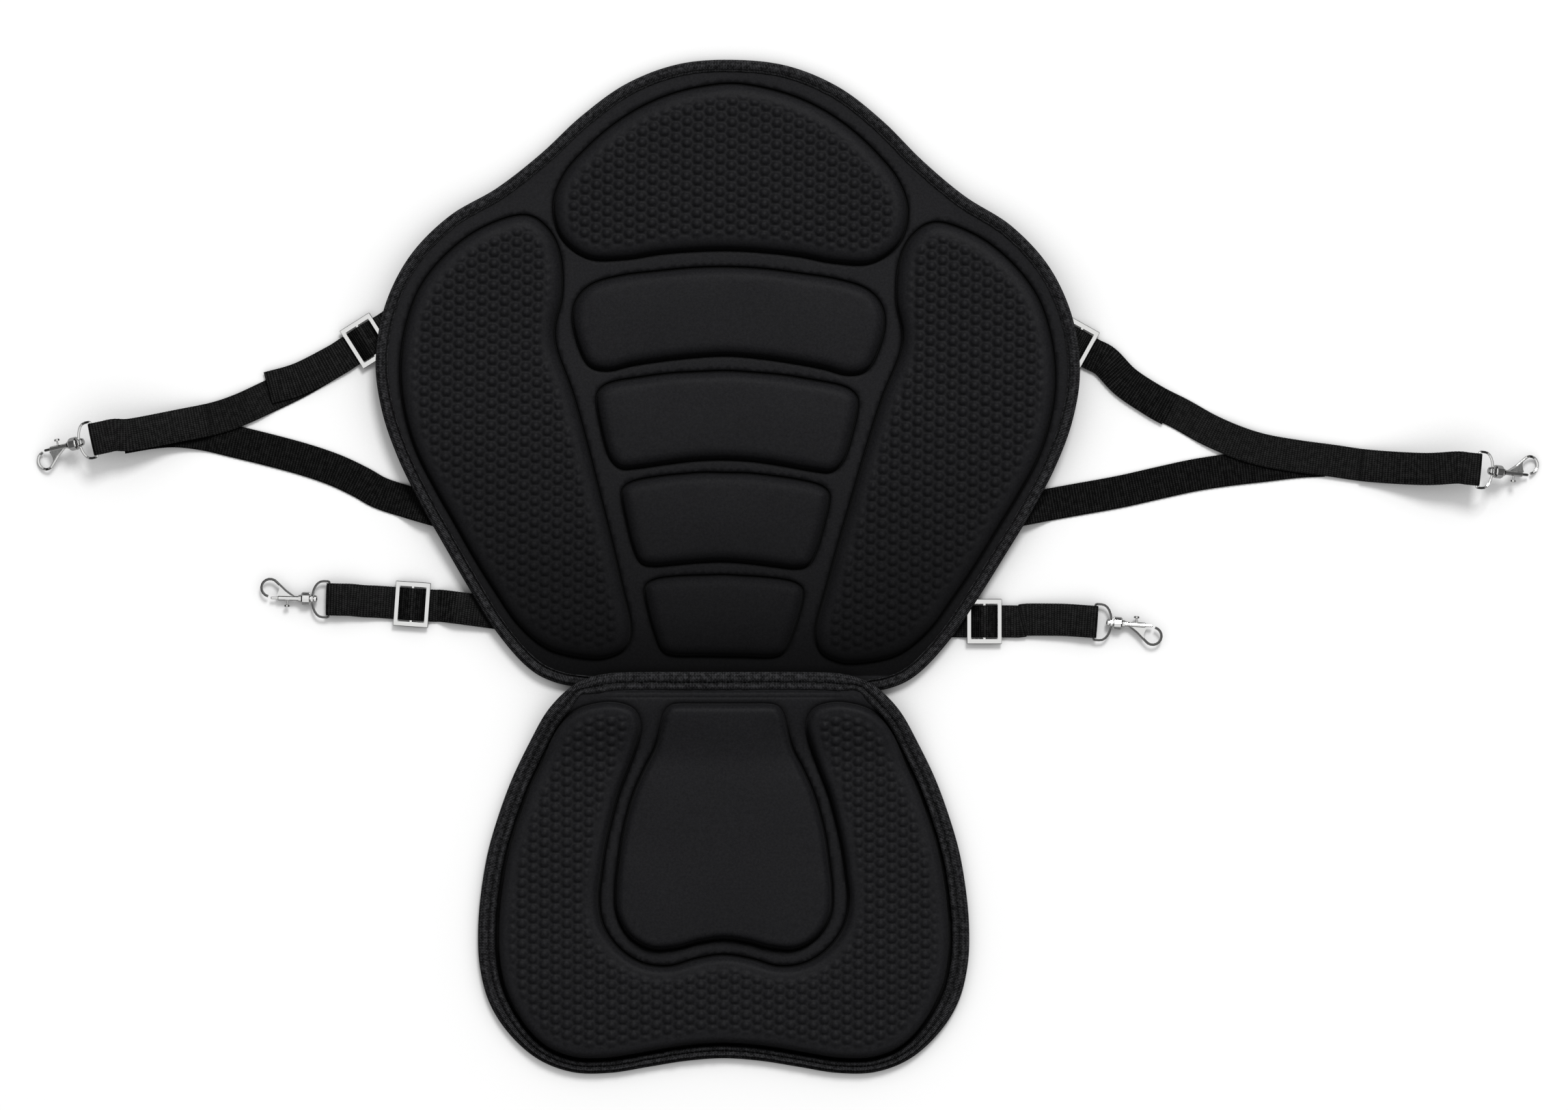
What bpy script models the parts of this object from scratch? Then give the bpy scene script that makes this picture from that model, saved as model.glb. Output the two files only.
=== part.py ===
"""A padded kayak seat lying open and flat: a moulded seat base and a tall moulded backrest,
both edged with bound tape and sewn together along the seat's rear edge, with two Y straps,
two lower straps, four metal sliders and four swivel snap hooks.

All sizes below are in millimetres and are turned into metres when a mesh is made.
+X is the seat's right as seen from above, +Y runs towards the top of the backrest, +Z is up.
The origin is the middle of the flat underside of the seat base.
"""

import math

import bmesh
import bpy
import numpy as np
from mathutils import Matrix, Vector
from mathutils.geometry import delaunay_2d_cdt

MM = 0.001
GAP = 0.3  # between pieces that touch on the real seat

# Layers of the padded parts
BACKING_THICK = 1.0
SEAT_TAPE_THICK = 1.0
SEAT_FLANGE_THICK = 4.0
SEAT_PAD_RISE = 10.0
BACK_TAPE_THICK = 0.8
BACK_FLANGE_THICK = 2.5
BACK_PAD_RISE = 8.0
PAD_EDGE_RADIUS = 6.0
TAPE_EASE = 0.3  # extra room for the seat's flange in its tape, where both bend
SEAT_LIP_SIDE = 12.8
SEAT_LIP_FRONT = 9.0
BACK_LIP = 9.2
SEAT_GROOVE = 0.9  # open groove between the seat's tape and its raised pad

# Round bumps moulded into the pads, in columns that are shifted by turns
BUMP_COLUMN_STEP = 8.45
BACK_BUMP_STEP = 8.12
SEAT_BUMP_STEP = 7.63
BUMP_HEIGHT = 1.3
BUMP_CLEAR = 13.0  # of a bump's middle from the foot of its panel

# Webbing, sliders and hooks
WEBBING_WIDTH = 24.5
WEBBING_THICK = 1.5
SLIDER_LENGTH = 26.5
SLIDER_WIDTH = 34.0
SLIDER_THICK = 2.0
SLIDER_BAR = 3.5
SLIDER_CENTRE_BAR = 2.4
SLIDER_RAIL = 4.0
EYE_WIRE = 2.0
EYE_HALF_WIDTH = 13.6
EYE_DEPTH = 12.9
EYE_CORNER = 1.3
EYE_SIDE = 4.5
EYE_BOSS_DIA = 7.4
EYE_BOSS_THICK = 2.4
RIVET_HEAD_DIA = 6.0
RIVET_HEAD_LENGTH = 2.6
STEM_DIA = 3.4
BARREL_DIA = 9.9
BARREL_LENGTH = 6.7
NECK_DIA = 6.0
NECK_LENGTH = 2.1
SHANK_DIA = 4.0
SHANK_LENGTH = 15.5
BORE_DIA = 2.8
BORE_DEPTH = 22.3
SPRING_ROOM = 10.6
PLUNGER_DIA = 2.1
PLUNGER_TRAVEL = 6.0
NOSE_REACH = 6.7  # of the plunger's nose past the shank's end
LOOP_REACH = 6.1  # of the loop's middle past the shank's end
LOOP_RADIUS = 6.6
LOOP_WIRE = 2.2
LOOP_OFFSET = 7.6
LOOP_ROOT_BACK = 12.2  # of the loop's root from the shank's end
LOOP_BEND_BACK = 5.7
LOOP_BEND_DROP = 2.0
KNOB_BACK = 7.0  # of the knob's middle from the shank's end
KNOB_DIA = 4.2
KNOB_OUT = 4.9
KNOB_THICK = 1.7
KNOB_STEM_DIA = 1.3
SPRING_WIRE = 0.35
SPRING_TURNS = 5

# Stations along a hook's shank, from the middle of the bar of its eye
RIVET_FACE = EYE_DEPTH - EYE_BOSS_THICK / 2 - GAP
RIVET_HEAD_START = RIVET_FACE - RIVET_HEAD_LENGTH
BARREL_START = EYE_DEPTH + EYE_BOSS_THICK / 2 + GAP
BARREL_END = BARREL_START + BARREL_LENGTH
NECK_END = BARREL_END + NECK_LENGTH
SHANK_END = NECK_END + SHANK_LENGTH
BORE_START = SHANK_END - BORE_DEPTH
PLUNGER_START = BORE_START + SPRING_ROOM
NOSE_X = SHANK_END + NOSE_REACH
LOOP_CENTRE_X = SHANK_END + LOOP_REACH
KNOB_X = SHANK_END - KNOB_BACK

# The seat's outline, right half, from the middle of the rear edge to the middle of the front
SEAT_HALF = [
    (0, 151.5), (57.5, 151.5), (86, 150.5), (103, 146.5), (117, 139), (133.5, 121.5),
    (147.5, 96.5), (160, 70.5), (170, 43.5), (178, 16), (183, -12.5), (185.5, -41),
    (184.5, -69.5), (177.5, -97.5), (162.5, -121.5), (140.5, -141), (114, -151),
    (85.5, -151.5), (57, -147), (28.5, -142.5), (0, -140.5),
]
SEAT_CENTRE_HALF = [
    (0, 127), (18.5, 127), (37.5, 126.5), (44, 121), (46.5, 112.5), (51, 94.5), (59.5, 77.5),
    (67, 60.5), (72.5, 42.5), (76.5, 24.5), (79, 6), (81, -12.5), (80, -31), (71, -47.5),
    (55, -57), (36.5, -56.5), (18.5, -52), (0, -49.5),
]
# The inner side of the seat's U-shaped pad, from the top of an arm to the middle
SEAT_U_INNER_HALF = [
    (82, 128), (68.5, 123.5), (63, 112), (65.5, 98.5), (72.5, 79), (80, 59.5), (85.5, 39.5),
    (90, 19.5), (93, -1), (95, -21.5), (91, -41.5), (78, -59), (60.5, -69.5), (40.5, -71.5),
    (20.5, -66), (0, -63),
]
SEAT_ARM_TOP = [(122, 106.5), (115, 118), (101.5, 126)]
ARM_START_Y = 97.0

# The backrest's outline in its own frame, whose origin is the middle of the hinge line
BACK_HALF = [
    (0, 462), (41.5, 458), (80.5, 442.5), (114, 417.5), (144, 388.5), (176.5, 362),
    (212, 340), (241, 309.5), (259, 272), (265.5, 231), (260.5, 193.5), (248, 158),
    (231, 124.5), (212, 92), (192.5, 59.5), (172, 28), (149, 2), (128, -10), (100, -14.5),
    (60, -15), (0, -15),
]
BACK_TOP_HALF = [
    (0, 443), (24.5, 440), (48, 433.5), (70.5, 423), (91, 409), (109, 392.5), (125, 373.5),
    (133, 350.5), (127, 326), (106.5, 311), (78.5, 311), (52.5, 315.5), (26, 318), (0, 319),
]
BACK_SIDE = [
    (157, 341), (187, 330.5), (212.5, 311), (232, 285.5), (242.5, 255), (246, 223),
    (242.5, 192.5), (233.5, 163.5), (219.5, 136.5), (204, 110), (188.5, 83.5), (172, 58),
    (154, 33), (131, 15), (101, 8.5), (84, 10.5), (73, 18), (70.5, 34), (77.5, 62.5),
    (87, 99.5), (97, 136), (107, 172.5), (118, 209), (130, 240), (132, 258), (127, 283),
    (129, 312), (139, 332),
]
BACK_PANELS = [
    [(0, 304.5), (26.5, 303.5), (53.5, 300.5), (79.5, 297), (102, 290.5), (114, 279),
     (117, 263), (112, 243), (104, 229.5), (90, 226.5), (72, 231), (48, 235), (24, 238),
     (0, 239.5)],
    [(0, 226), (21.5, 225), (42.5, 223.5), (63.5, 220.5), (85.5, 216.5), (95.5, 211),
     (98, 202), (94, 181), (88, 161.5), (79.5, 153), (66.5, 153.5), (44.5, 157),
     (22.5, 160), (0, 161)],
    [(0, 149), (17, 149), (33.5, 147.5), (50.5, 145.5), (68, 142), (76.5, 137), (77.5, 129),
     (74, 112.5), (69, 94), (63, 82), (53, 79.5), (38, 81), (19, 83), (0, 84)],
    [(0, 72), (13, 71.5), (26, 71), (39, 70), (51, 68), (58, 64), (59, 57), (56, 43),
     (51.5, 28.5), (46, 16), (37, 12), (15.5, 12), (0, 12)],
]

# Spacing of mesh points along the edges
SEAT_FINE_STEP = 9.0
SEAT_STEP = 18.0
SEAT_PAD_STEP = 13.0
BACK_STEP = 18.0
BACK_PAD_STEP = 14.5
BACK_GRID = 45.0
BACK_MARGIN = 18.0

HINGE_Y = 151.8
HINGE_X = -0.8
BACK_YAW_DEG = -1.0
BACK_BASE = WEBBING_THICK + GAP
BACK_HEIGHT = 2 * BACK_TAPE_THICK + 3 * GAP + BACKING_THICK + BACK_FLANGE_THICK
SEAT_REAR_LIFT = BACK_BASE + BACK_HEIGHT + GAP
HINGE_Z = SEAT_REAR_LIFT + BACK_HEIGHT / 2  # so the folded pads pass clear of the seat's tape
SEAT_LIP_FROM = -150.0  # where the tape of the seat's front starts to widen
SEAT_LIP_TO = -100.0
SEAT_LIFT_FROM = 80.0
SEAT_LIFT_TO = 136.0
WING_FROM = 70.0
WING_TO = 265.0
WING_LIFT = 13.0

SLIDER_RUN = (-28.0, -16.0, 0.0, 16.0, 30.0)  # where webbing runs straight at a slider

# Straps: plan routes from the hook end, sliders at centre and heading towards the backrest
SLIDERS = {
    "left_upper": ((-270.0, 401.5), 32.2),
    "right_upper": ((264.5, 399.2), 151.0),
    "left_lower": ((-235.5, 202.5), -4.0),
    "right_lower": ((197.0, 189.5), 180.0),
}
STRAP_ROUTES = {
    "left_upper": [(-474.0, 326.8), (-445.5, 330.5), (-411, 337.5), (-385, 343),
                   (-365.5, 349.5), (-345, 359), (-320.5, 371)],
    "right_upper": [(568.0, 304.0), (528, 304.5), (488.5, 307), (459.5, 311),
                    (433.5, 314.5), (408, 319), (387, 325.5), (366.5, 334.5), (346, 346),
                    (325.5, 356.5), (304, 370.5)],
    "left_lower": [(-298.0, 206.2), (-272, 204.8)],
    "right_lower": [(280.0, 189.2), (253, 190.8), (227.5, 190.8)],
}
TAIL_ENDS = {"left_upper": [(-344.5, 366), (-320.5, 373)],
             "right_upper": [(337, 349), (325.5, 355.5), (304, 370)]}
ANCHOR_ENDS = {"left_upper": (-205.0, 442.5), "right_upper": (199.0, 435.5),
               "left_lower": (-140.0, 191.5), "right_lower": (118.0, 188.0)}
ANCHOR_CLIMB = (15.0, 36.0)  # distances past a slider's middle where webbing climbs
LEG_CLIMB = (-68.0, -38.0)
LOWER_LEGS = {
    "left": [(-453, 328), (-430, 332), (-412, 333), (-391.5, 330.5), (-368, 325),
             (-343.5, 319), (-316, 311.5), (-293, 303.5), (-274, 294.5), (-259.5, 286.5),
             (-236.5, 279), (-205, 270), (-182, 264)],
    "right": [(454, 311), (433.5, 310), (408, 307), (382, 304), (356, 300), (330.5, 294.5),
              (299.5, 287.5), (266.5, 281.5), (244.5, 277.5), (205, 270), (182, 266)],
}
PLY_STEP = 1.95  # height from one ply of webbing to the next where they are sewn together
MIDDLE_PLY_Z = WEBBING_THICK / 2 + 1.5 * PLY_STEP
FOLD_LENGTH = 86.0  # of the ply sewn back from a Y strap's hook
Y_LEVEL_DROP = {"left": (120.0, 135.0), "right": (194.0, 216.0)}
Y_RISE_FROM = 88.0

# Hooks: heading of the shank in plan, how far its nose dips, and the side of its loop
HOOKS = {
    "left_upper": {"heading": 192.0, "dip": 25.0, "side": 1},
    "right_upper": {"heading": -5.6, "dip": 25.0, "side": 1},
    "left_lower": {"heading": 178.5, "dip": 0.0, "side": -1},
    "right_lower": {"heading": -4.0, "dip": 0.0, "side": -1},
}
LOW_BAR_Z = BARREL_DIA / 2 + GAP

KNIT = (0.012, 0.012, 0.013)
BACKING_CLOTH = (0.010, 0.010, 0.011)
TAPE = (0.020, 0.020, 0.021)
WEBBING = (0.011, 0.011, 0.011)
NICKEL = (0.75, 0.75, 0.74)
STEEL = (0.62, 0.62, 0.62)


def clear_scene():
    for ob in list(bpy.data.objects):
        bpy.data.objects.remove(ob, do_unlink=True)


def material(name, colour, roughness, metallic=0.0):
    mat = bpy.data.materials.new(name)
    mat.use_nodes = True
    shader = mat.node_tree.nodes["Principled BSDF"]
    shader.inputs["Base Color"].default_value = (*colour, 1.0)
    shader.inputs["Roughness"].default_value = roughness
    shader.inputs["Metallic"].default_value = metallic
    mat.diffuse_color = (*colour, 1.0)
    return mat


def add_object(name, vertices, faces, finish, smooth=True, matrix=None):
    mesh = bpy.data.meshes.new(name)
    mesh.from_pydata([Vector(v) * MM for v in vertices], [], faces)
    bm = bmesh.new()
    bm.from_mesh(mesh)
    bmesh.ops.recalc_face_normals(bm, faces=bm.faces)
    bm.to_mesh(mesh)
    bm.free()
    mesh.polygons.foreach_set("use_smooth", [smooth] * len(mesh.polygons))
    ob = bpy.data.objects.new(name, mesh)
    bpy.context.scene.collection.objects.link(ob)
    mesh.materials.append(material(name + "_finish", *finish))
    if matrix is not None:
        ob.matrix_world = matrix
    return ob


# Curves and outlines

def spline(points, closed, per_span=10):
    """A smooth curve through the points, sampled evenly in each span."""
    p = np.array(points, float)
    if closed:
        q = np.vstack([p[-1], p, p[0], p[1]])
    else:
        q = np.vstack([2 * p[0] - p[1], p, 2 * p[-1] - p[-2]])
    t = np.linspace(0, 1, per_span, endpoint=False)[:, None]
    spans = []
    for p0, p1, p2, p3 in zip(q, q[1:], q[2:], q[3:]):
        spans.append(0.5 * (2 * p1 + (p2 - p0) * t + (2 * p0 - 5 * p1 + 4 * p2 - p3) * t ** 2
                            + (3 * p1 - p0 - 3 * p2 + p3) * t ** 3))
    if not closed:
        spans.append(p[-1:])
    return np.vstack(spans)


def lengths(points):
    return np.r_[0, np.cumsum(np.linalg.norm(np.diff(points, axis=0), axis=1))]


def resample(points, step, closed):
    p = np.vstack([points, points[:1]]) if closed else np.array(points)
    along = lengths(p)
    count = max(8 if closed else 2, round(along[-1] / step))
    t = np.linspace(0, along[-1], count + (0 if closed else 1), endpoint=not closed)
    return np.stack([np.interp(t, along, p[:, k]) for k in range(p.shape[1])], 1)


def mirrored(half):
    """A closed outline from a right half that starts and ends on the middle line."""
    left = [(-x, y) for x, y in reversed(half) if x > 0]
    return list(half) + left


def clockwise(points):
    x, y = np.array(points).T
    area = float((x * np.roll(y, -1) - y * np.roll(x, -1)).sum())
    return np.array(points) if area < 0 else np.array(points)[::-1]


def smooth_outline(points, step):
    return resample(spline(clockwise(points), True), step, True)


def seat_outline():
    """The seat's edge, with its points close together only where the seat bends up."""
    fine = resample(spline(clockwise(mirrored(SEAT_HALF)), True), 1.0, True)
    bends = fine[:, 1] > SEAT_LIFT_FROM - SEAT_FINE_STEP
    passed = np.cumsum(np.where(bends, 1 / SEAT_FINE_STEP, 1 / SEAT_STEP))
    count = int(round(passed[-1]))
    picks = np.searchsorted(passed, (np.arange(count) + 0.5) * passed[-1] / count)
    return fine[picks]


def back_outline():
    return smooth_outline(mirrored(BACK_HALF), BACK_STEP)


def inward(outline):
    """Unit vectors that point into a clockwise outline, one for each of its points."""
    run = np.roll(outline, -1, 0) - np.roll(outline, 1, 0)
    run /= np.linalg.norm(run, axis=1)[:, None]
    return np.stack([run[:, 1], -run[:, 0]], 1)


def inset(outline, distance):
    """The outline moved inwards, without the points that would crowd in a tight corner."""
    moved = outline + inward(outline) * np.reshape(distance, (-1, 1))
    fine = resample(outline, 2.0, True)
    nearest = np.linalg.norm(moved[:, None] - fine[None], axis=2).min(1)
    return moved[nearest > np.ravel(distance) * np.ones(len(moved)) - 0.35]


def dome(distance, radius, rise):
    """Height of a rounded edge at a distance in from its foot."""
    t = np.clip((radius - np.asarray(distance, float)) / radius, 0, 1)
    return rise * np.sqrt(1 - t ** 2)


def inside(outline, points):
    x, y = np.asarray(points, float).T
    x0, y0 = outline.T
    x1, y1 = np.roll(outline, -1, 0).T
    crosses = (y0[None] > y[:, None]) != (y1[None] > y[:, None])
    slope = (x1 - x0) / np.where(y1 == y0, 1e-9, y1 - y0)
    return (crosses & (x[:, None] < x0 + slope * (y[:, None] - y0))).sum(1) % 2 == 1


def depth(outline, points):
    """Distance of each point inside an outline, negative outside it."""
    run = np.roll(outline, -1, 0) - outline
    offset = points[:, None] - outline
    t = np.clip((offset * run).sum(2) / (run ** 2).sum(1), 0, 1)
    near = np.linalg.norm(offset - t[..., None] * run, axis=2).min(1)
    return np.where(inside(outline, points), near, -near)


def bumps(outline, row_step, top):
    """Peaks of the moulded bumps inside a panel's outline, and the dips between them."""
    low, high = outline.min(0), outline.max(0)
    columns = range(math.floor(low[0] / BUMP_COLUMN_STEP),
                    math.ceil(high[0] / BUMP_COLUMN_STEP) + 1)
    rows = range(math.floor(low[1] / row_step) - 1, math.ceil(high[1] / row_step) + 1)
    peaks = np.array([(i * BUMP_COLUMN_STEP, (j + 0.5 * (i % 2)) * row_step)
                      for i in columns for j in rows])
    peaks = peaks[depth(outline, peaks) > BUMP_CLEAR]
    dip_side, dip_up = BUMP_COLUMN_STEP / 3, row_step / 2
    dips = np.vstack([peaks + (dip_side, dip_up), peaks - (dip_side, dip_up)])
    return ([(x, y, top + BUMP_HEIGHT) for x, y in peaks] + [(x, y, top) for x, y in dips])


def skin(rings, loose):
    """Triangles through nested closed rings and loose points, each given with heights."""
    flat, height, edges = [], [], []
    for points, z in rings:
        first = len(flat)
        flat += [Vector(p) for p in points]
        height += list(np.ones(len(points)) * z)
        edges += [(first + i, first + (i + 1) % len(points)) for i in range(len(points))]
    flat += [Vector(p[:2]) for p in loose]
    height += [p[2] for p in loose]
    out = delaunay_2d_cdt(flat, edges, [], 1, 1e-5)
    z = [height[origins[0]] for origins in out[3]]
    return [(v.x, v.y, h) for v, h in zip(out[0], z)], out[2]


def solid_between(upper, lower, rim_count):
    """Closed mesh from two skins whose first rim_count points are the same outline."""
    top_points, top_faces = upper
    low_points, low_faces = lower
    n = len(top_points)
    faces = [tuple(f) for f in top_faces] + [tuple(n + i for i in f[::-1]) for f in low_faces]
    faces += [(i, (i + 1) % rim_count, n + (i + 1) % rim_count, n + i)
              for i in range(rim_count)]
    return top_points + low_points, faces


def grid_points(outline, step, z, margin):
    """Points on a square grid that lie at least a margin inside an outline."""
    low, high = outline.min(0), outline.max(0)
    xs = np.arange(math.ceil(low[0] / step), high[0] / step) * step
    ys = np.arange(math.ceil(low[1] / step), high[1] / step) * step
    cells = np.array([(x, y) for x in xs for y in ys])
    near = np.linalg.norm(cells[:, None] - outline[None], axis=2).min(1)
    keep = inside(outline, cells) & (near > margin)
    return [(x, y, z) for x, y in cells[keep]]


# How the soft parts bend

def ease(t):
    """Smooth climb from 0 to 1."""
    t = np.clip(t, 0, 1)
    return t * t * (3 - 2 * t)


def seat_lift(x, y):
    """The seat's rear edge climbs over the backrest's bound edge."""
    climbed = ease((y - SEAT_LIFT_FROM) / (SEAT_LIFT_TO - SEAT_LIFT_FROM))
    return (SEAT_REAR_LIFT + wing_lift(x)) * climbed


def wing_lift(x):
    """The backrest's side wings curl up."""
    t = np.clip((abs(x) - WING_FROM) / (WING_TO - WING_FROM), 0, 1.2)
    return WING_LIFT * t * t


def lifted_seat(points):
    return [(x, y, z + float(seat_lift(x, y))) for x, y, z in points]


def lifted_back(points):
    return [(x, y, z + BACK_BASE - HINGE_Z + float(wing_lift(x))) for x, y, z in points]


def back_matrix():
    place = Matrix.Translation(Vector((HINGE_X, HINGE_Y, HINGE_Z)) * MM)
    return place @ Matrix.Rotation(math.radians(BACK_YAW_DEG), 4, "Z")


# Moulded pads, backings and bound edges

def seat_lip(points):
    """Visible width of the seat's tape: wide at the sides and rear, narrow at the front."""
    climb = ease((points[:, 1] - SEAT_LIP_FROM) / (SEAT_LIP_TO - SEAT_LIP_FROM))
    return SEAT_LIP_FRONT + (SEAT_LIP_SIDE - SEAT_LIP_FRONT) * climb


def raised(outline, base, rise, spread=PAD_EDGE_RADIUS):
    """Nested rings that lift a pad with a rounded edge out of its flange."""
    rings = [(outline, base)]
    for share in (0.14, 0.5, 1.0):
        d = spread * share
        rings.append((inset(outline, d), base + float(dome(d, spread, rise))))
    return rings


def seat_bend_points(z):
    """Rows of points across the part of the seat that bends, the same for each layer."""
    rows = np.linspace(SEAT_LIFT_FROM, SEAT_LIFT_TO, 9)
    return [(x, y, z) for y in rows for x in range(-90, 91, 36)]


def seat_u_outline(outline):
    edge = outline + inward(outline) * (seat_lip(outline) + SEAT_GROOVE)[:, None]
    right = [tuple(p) for p in edge if p[0] >= 0 and p[1] < ARM_START_Y]
    right.sort(key=lambda p: math.atan2(p[0], -p[1] - 20))
    half = right + SEAT_ARM_TOP + SEAT_U_INNER_HALF
    whole = half + [(-x, y) for x, y in reversed(half) if x > 0]
    return resample(spline(clockwise(whole), True, 4), SEAT_PAD_STEP, True)


def make_seat_pad():
    outline = seat_outline()
    side = inward(outline)
    rim = outline + side * (SEAT_TAPE_THICK + GAP)
    under_lip = outline + side * seat_lip(outline)[:, None]
    low = SEAT_TAPE_THICK + BACKING_THICK + 2 * GAP
    flange = low + SEAT_FLANGE_THICK
    centre = smooth_outline(mirrored(SEAT_CENTRE_HALF), SEAT_PAD_STEP)
    horseshoe = seat_u_outline(outline)
    rings = [(rim, flange), (under_lip, flange)]
    rings += raised(horseshoe, flange, SEAT_PAD_RISE)
    rings += raised(centre, flange, SEAT_PAD_RISE)
    upper = skin(rings, bumps(horseshoe, SEAT_BUMP_STEP, flange + SEAT_PAD_RISE))
    lower = skin([(rim, low)], seat_bend_points(low))
    points, faces = solid_between(upper, lower, len(rim))
    return add_object("seat_pad", lifted_seat(points), faces, (KNIT, 0.9))


def make_seat_backing():
    outline = seat_outline()
    side = inward(outline)
    rim = outline + side * (SEAT_TAPE_THICK + GAP)
    step = outline + side * (seat_lip(outline) + GAP)[:, None]
    floor = outline + side * (seat_lip(outline) + 2 * GAP)[:, None]
    low = SEAT_TAPE_THICK + GAP
    high = low + BACKING_THICK
    upper = skin([(rim, high)], seat_bend_points(high))
    lower = skin([(rim, low), (step, low), (floor, 0.0)], seat_bend_points(0.0))
    points, faces = solid_between(upper, lower, len(rim))
    return add_object("seat_backing", lifted_seat(points), faces, (BACKING_CLOTH, 0.95))


def bound_edge(outline, lip, tape, height):
    """Tape folded round an edge: a C section carried round the outline."""
    lip = np.ones(len(outline)) * lip
    side = inward(outline)
    section = [(0, 0), (1, 0), (1, tape), (0, tape), (0, height - tape),
               (1, height - tape), (1, height), (0, height)]
    wall = [0, 0, 0, tape, tape, 0, 0, 0]
    points, faces = [], []
    for place, way, width in zip(outline, side, lip):
        for (reach, z), start in zip(section, wall):
            x, y = place + way * (width if reach else start)
            points.append((x, y, z))
    n, k = len(outline), len(section)
    for i in range(n):
        j = (i + 1) % n
        faces += [(i * k + a, j * k + a, j * k + (a + 1) % k, i * k + (a + 1) % k)
                  for a in range(k)]
    return points, faces


def make_seat_binding():
    outline = seat_outline()
    height = (2 * SEAT_TAPE_THICK + 3 * GAP + BACKING_THICK + SEAT_FLANGE_THICK
              + TAPE_EASE)
    points, faces = bound_edge(outline, seat_lip(outline), SEAT_TAPE_THICK, height)
    return add_object("seat_binding", lifted_seat(points), faces, (TAPE, 0.8))


def make_back_binding():
    outline = back_outline()
    points, faces = bound_edge(outline, BACK_LIP, BACK_TAPE_THICK, BACK_HEIGHT)
    return add_object("backrest_binding", lifted_back(points), faces, (TAPE, 0.8),
                      matrix=back_matrix())


def make_back_pad():
    outline = back_outline()
    rim = outline + inward(outline) * (BACK_TAPE_THICK + GAP)
    low = BACK_TAPE_THICK + BACKING_THICK + 2 * GAP
    flange = low + BACK_FLANGE_THICK
    rings, peaks = [(rim, flange)], []
    bumpy = [mirrored(BACK_TOP_HALF), BACK_SIDE, [(-x, y) for x, y in BACK_SIDE]]
    for shape in bumpy + [mirrored(half) for half in BACK_PANELS]:
        panel = smooth_outline(shape, BACK_PAD_STEP)
        rings += raised(panel, flange, BACK_PAD_RISE)
        if shape in bumpy:
            peaks += bumps(panel, BACK_BUMP_STEP, flange + BACK_PAD_RISE)
    upper = skin(rings, peaks)
    lower = skin([(rim, low)], grid_points(rim, BACK_GRID, low, BACK_MARGIN))
    points, faces = solid_between(upper, lower, len(rim))
    return add_object("backrest_pad", lifted_back(points), faces, (KNIT, 0.9),
                      matrix=back_matrix())


def make_back_backing():
    outline = back_outline()
    rim = outline + inward(outline) * (BACK_TAPE_THICK + GAP)
    low = BACK_TAPE_THICK + GAP
    high = low + BACKING_THICK
    step = inset(outline, BACK_LIP + GAP)
    floor = inset(outline, BACK_LIP + 2 * GAP)
    upper = skin([(rim, high)], grid_points(rim, BACK_GRID, high, BACK_MARGIN))
    lower = skin([(rim, low), (step, low), (floor, 0.0)],
                 grid_points(rim, BACK_GRID, 0.0, BACK_MARGIN))
    points, faces = solid_between(upper, lower, len(rim))
    return add_object("backrest_backing", lifted_back(points), faces, (BACKING_CLOTH, 0.95),
                      matrix=back_matrix())


# Straps

def arc(centre, radius, start_deg, end_deg, count):
    turns = np.radians(np.linspace(start_deg, end_deg, count))
    return [(centre[0] + radius * math.cos(a), centre[1] + radius * math.sin(a))
            for a in turns]


def ribbon(name, route, profile, ground=None):
    """Webbing that follows a plan route, with heights from a side profile of (s, z).

    Where there is a ground, the heights are measured from it at every corner, so that
    plies that lie on each other keep their spacing wherever they cross.
    """
    along = lengths(route)

    def plan(s):
        x = np.interp(s, along, route[:, 0])
        y = np.interp(s, along, route[:, 1])
        if s < 0:
            x, y = route[0] + (route[0] - route[1]) / along[1] * -s
        if s > along[-1]:
            last = route[-1] - route[-2]
            x, y = route[-1] + last / np.linalg.norm(last) * (s - along[-1])
        return np.array([x, y])

    profile = np.array(profile, float)
    run = np.gradient(profile, axis=0)
    run /= np.linalg.norm(run, axis=1)[:, None]
    points, faces = [], []
    for (s, z), (ds, dz) in zip(profile, run):
        ahead = plan(s + 3.0) - plan(s - 3.0)
        ahead /= np.linalg.norm(ahead)
        side = np.array([-ahead[1], ahead[0]])
        for across, up in ((-1, -1), (1, -1), (1, 1), (-1, 1)):
            half = up * WEBBING_THICK / 2
            at = plan(s - dz * half) + side * across * WEBBING_WIDTH / 2
            held = ground(at) if ground else 0.0
            points.append((at[0], at[1], z + ds * half + held))
    for i in range(len(profile) - 1):
        a, b = 4 * i, 4 * i + 4
        faces += [(a + k, b + k, b + (k + 1) % 4, a + (k + 1) % 4) for k in range(4)]
    last = 4 * (len(profile) - 1)
    faces += [(0, 1, 2, 3), (last + 3, last + 2, last + 1, last)]
    return add_object(name, points, faces, (WEBBING, 0.85), smooth=False)


def heading(deg):
    return np.array([math.cos(math.radians(deg)), math.sin(math.radians(deg))])


def through_slider(before, name, after):
    """A plan route that runs straight through a slider, and the slider's place along it."""
    centre, deg = SLIDERS[name]
    centre, way = np.array(centre), heading(deg)
    keys = list(before) + [centre + u * way for u in SLIDER_RUN[:-1]]
    if after:
        keys += [centre + SLIDER_RUN[-1] * way] + list(after)
    route = resample(spline(keys, False), 2.0, False)
    near = int(np.linalg.norm(route - centre, axis=1).argmin())
    past = float((centre - route[near]) @ way)
    return route, float(lengths(route)[near]) + past


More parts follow.
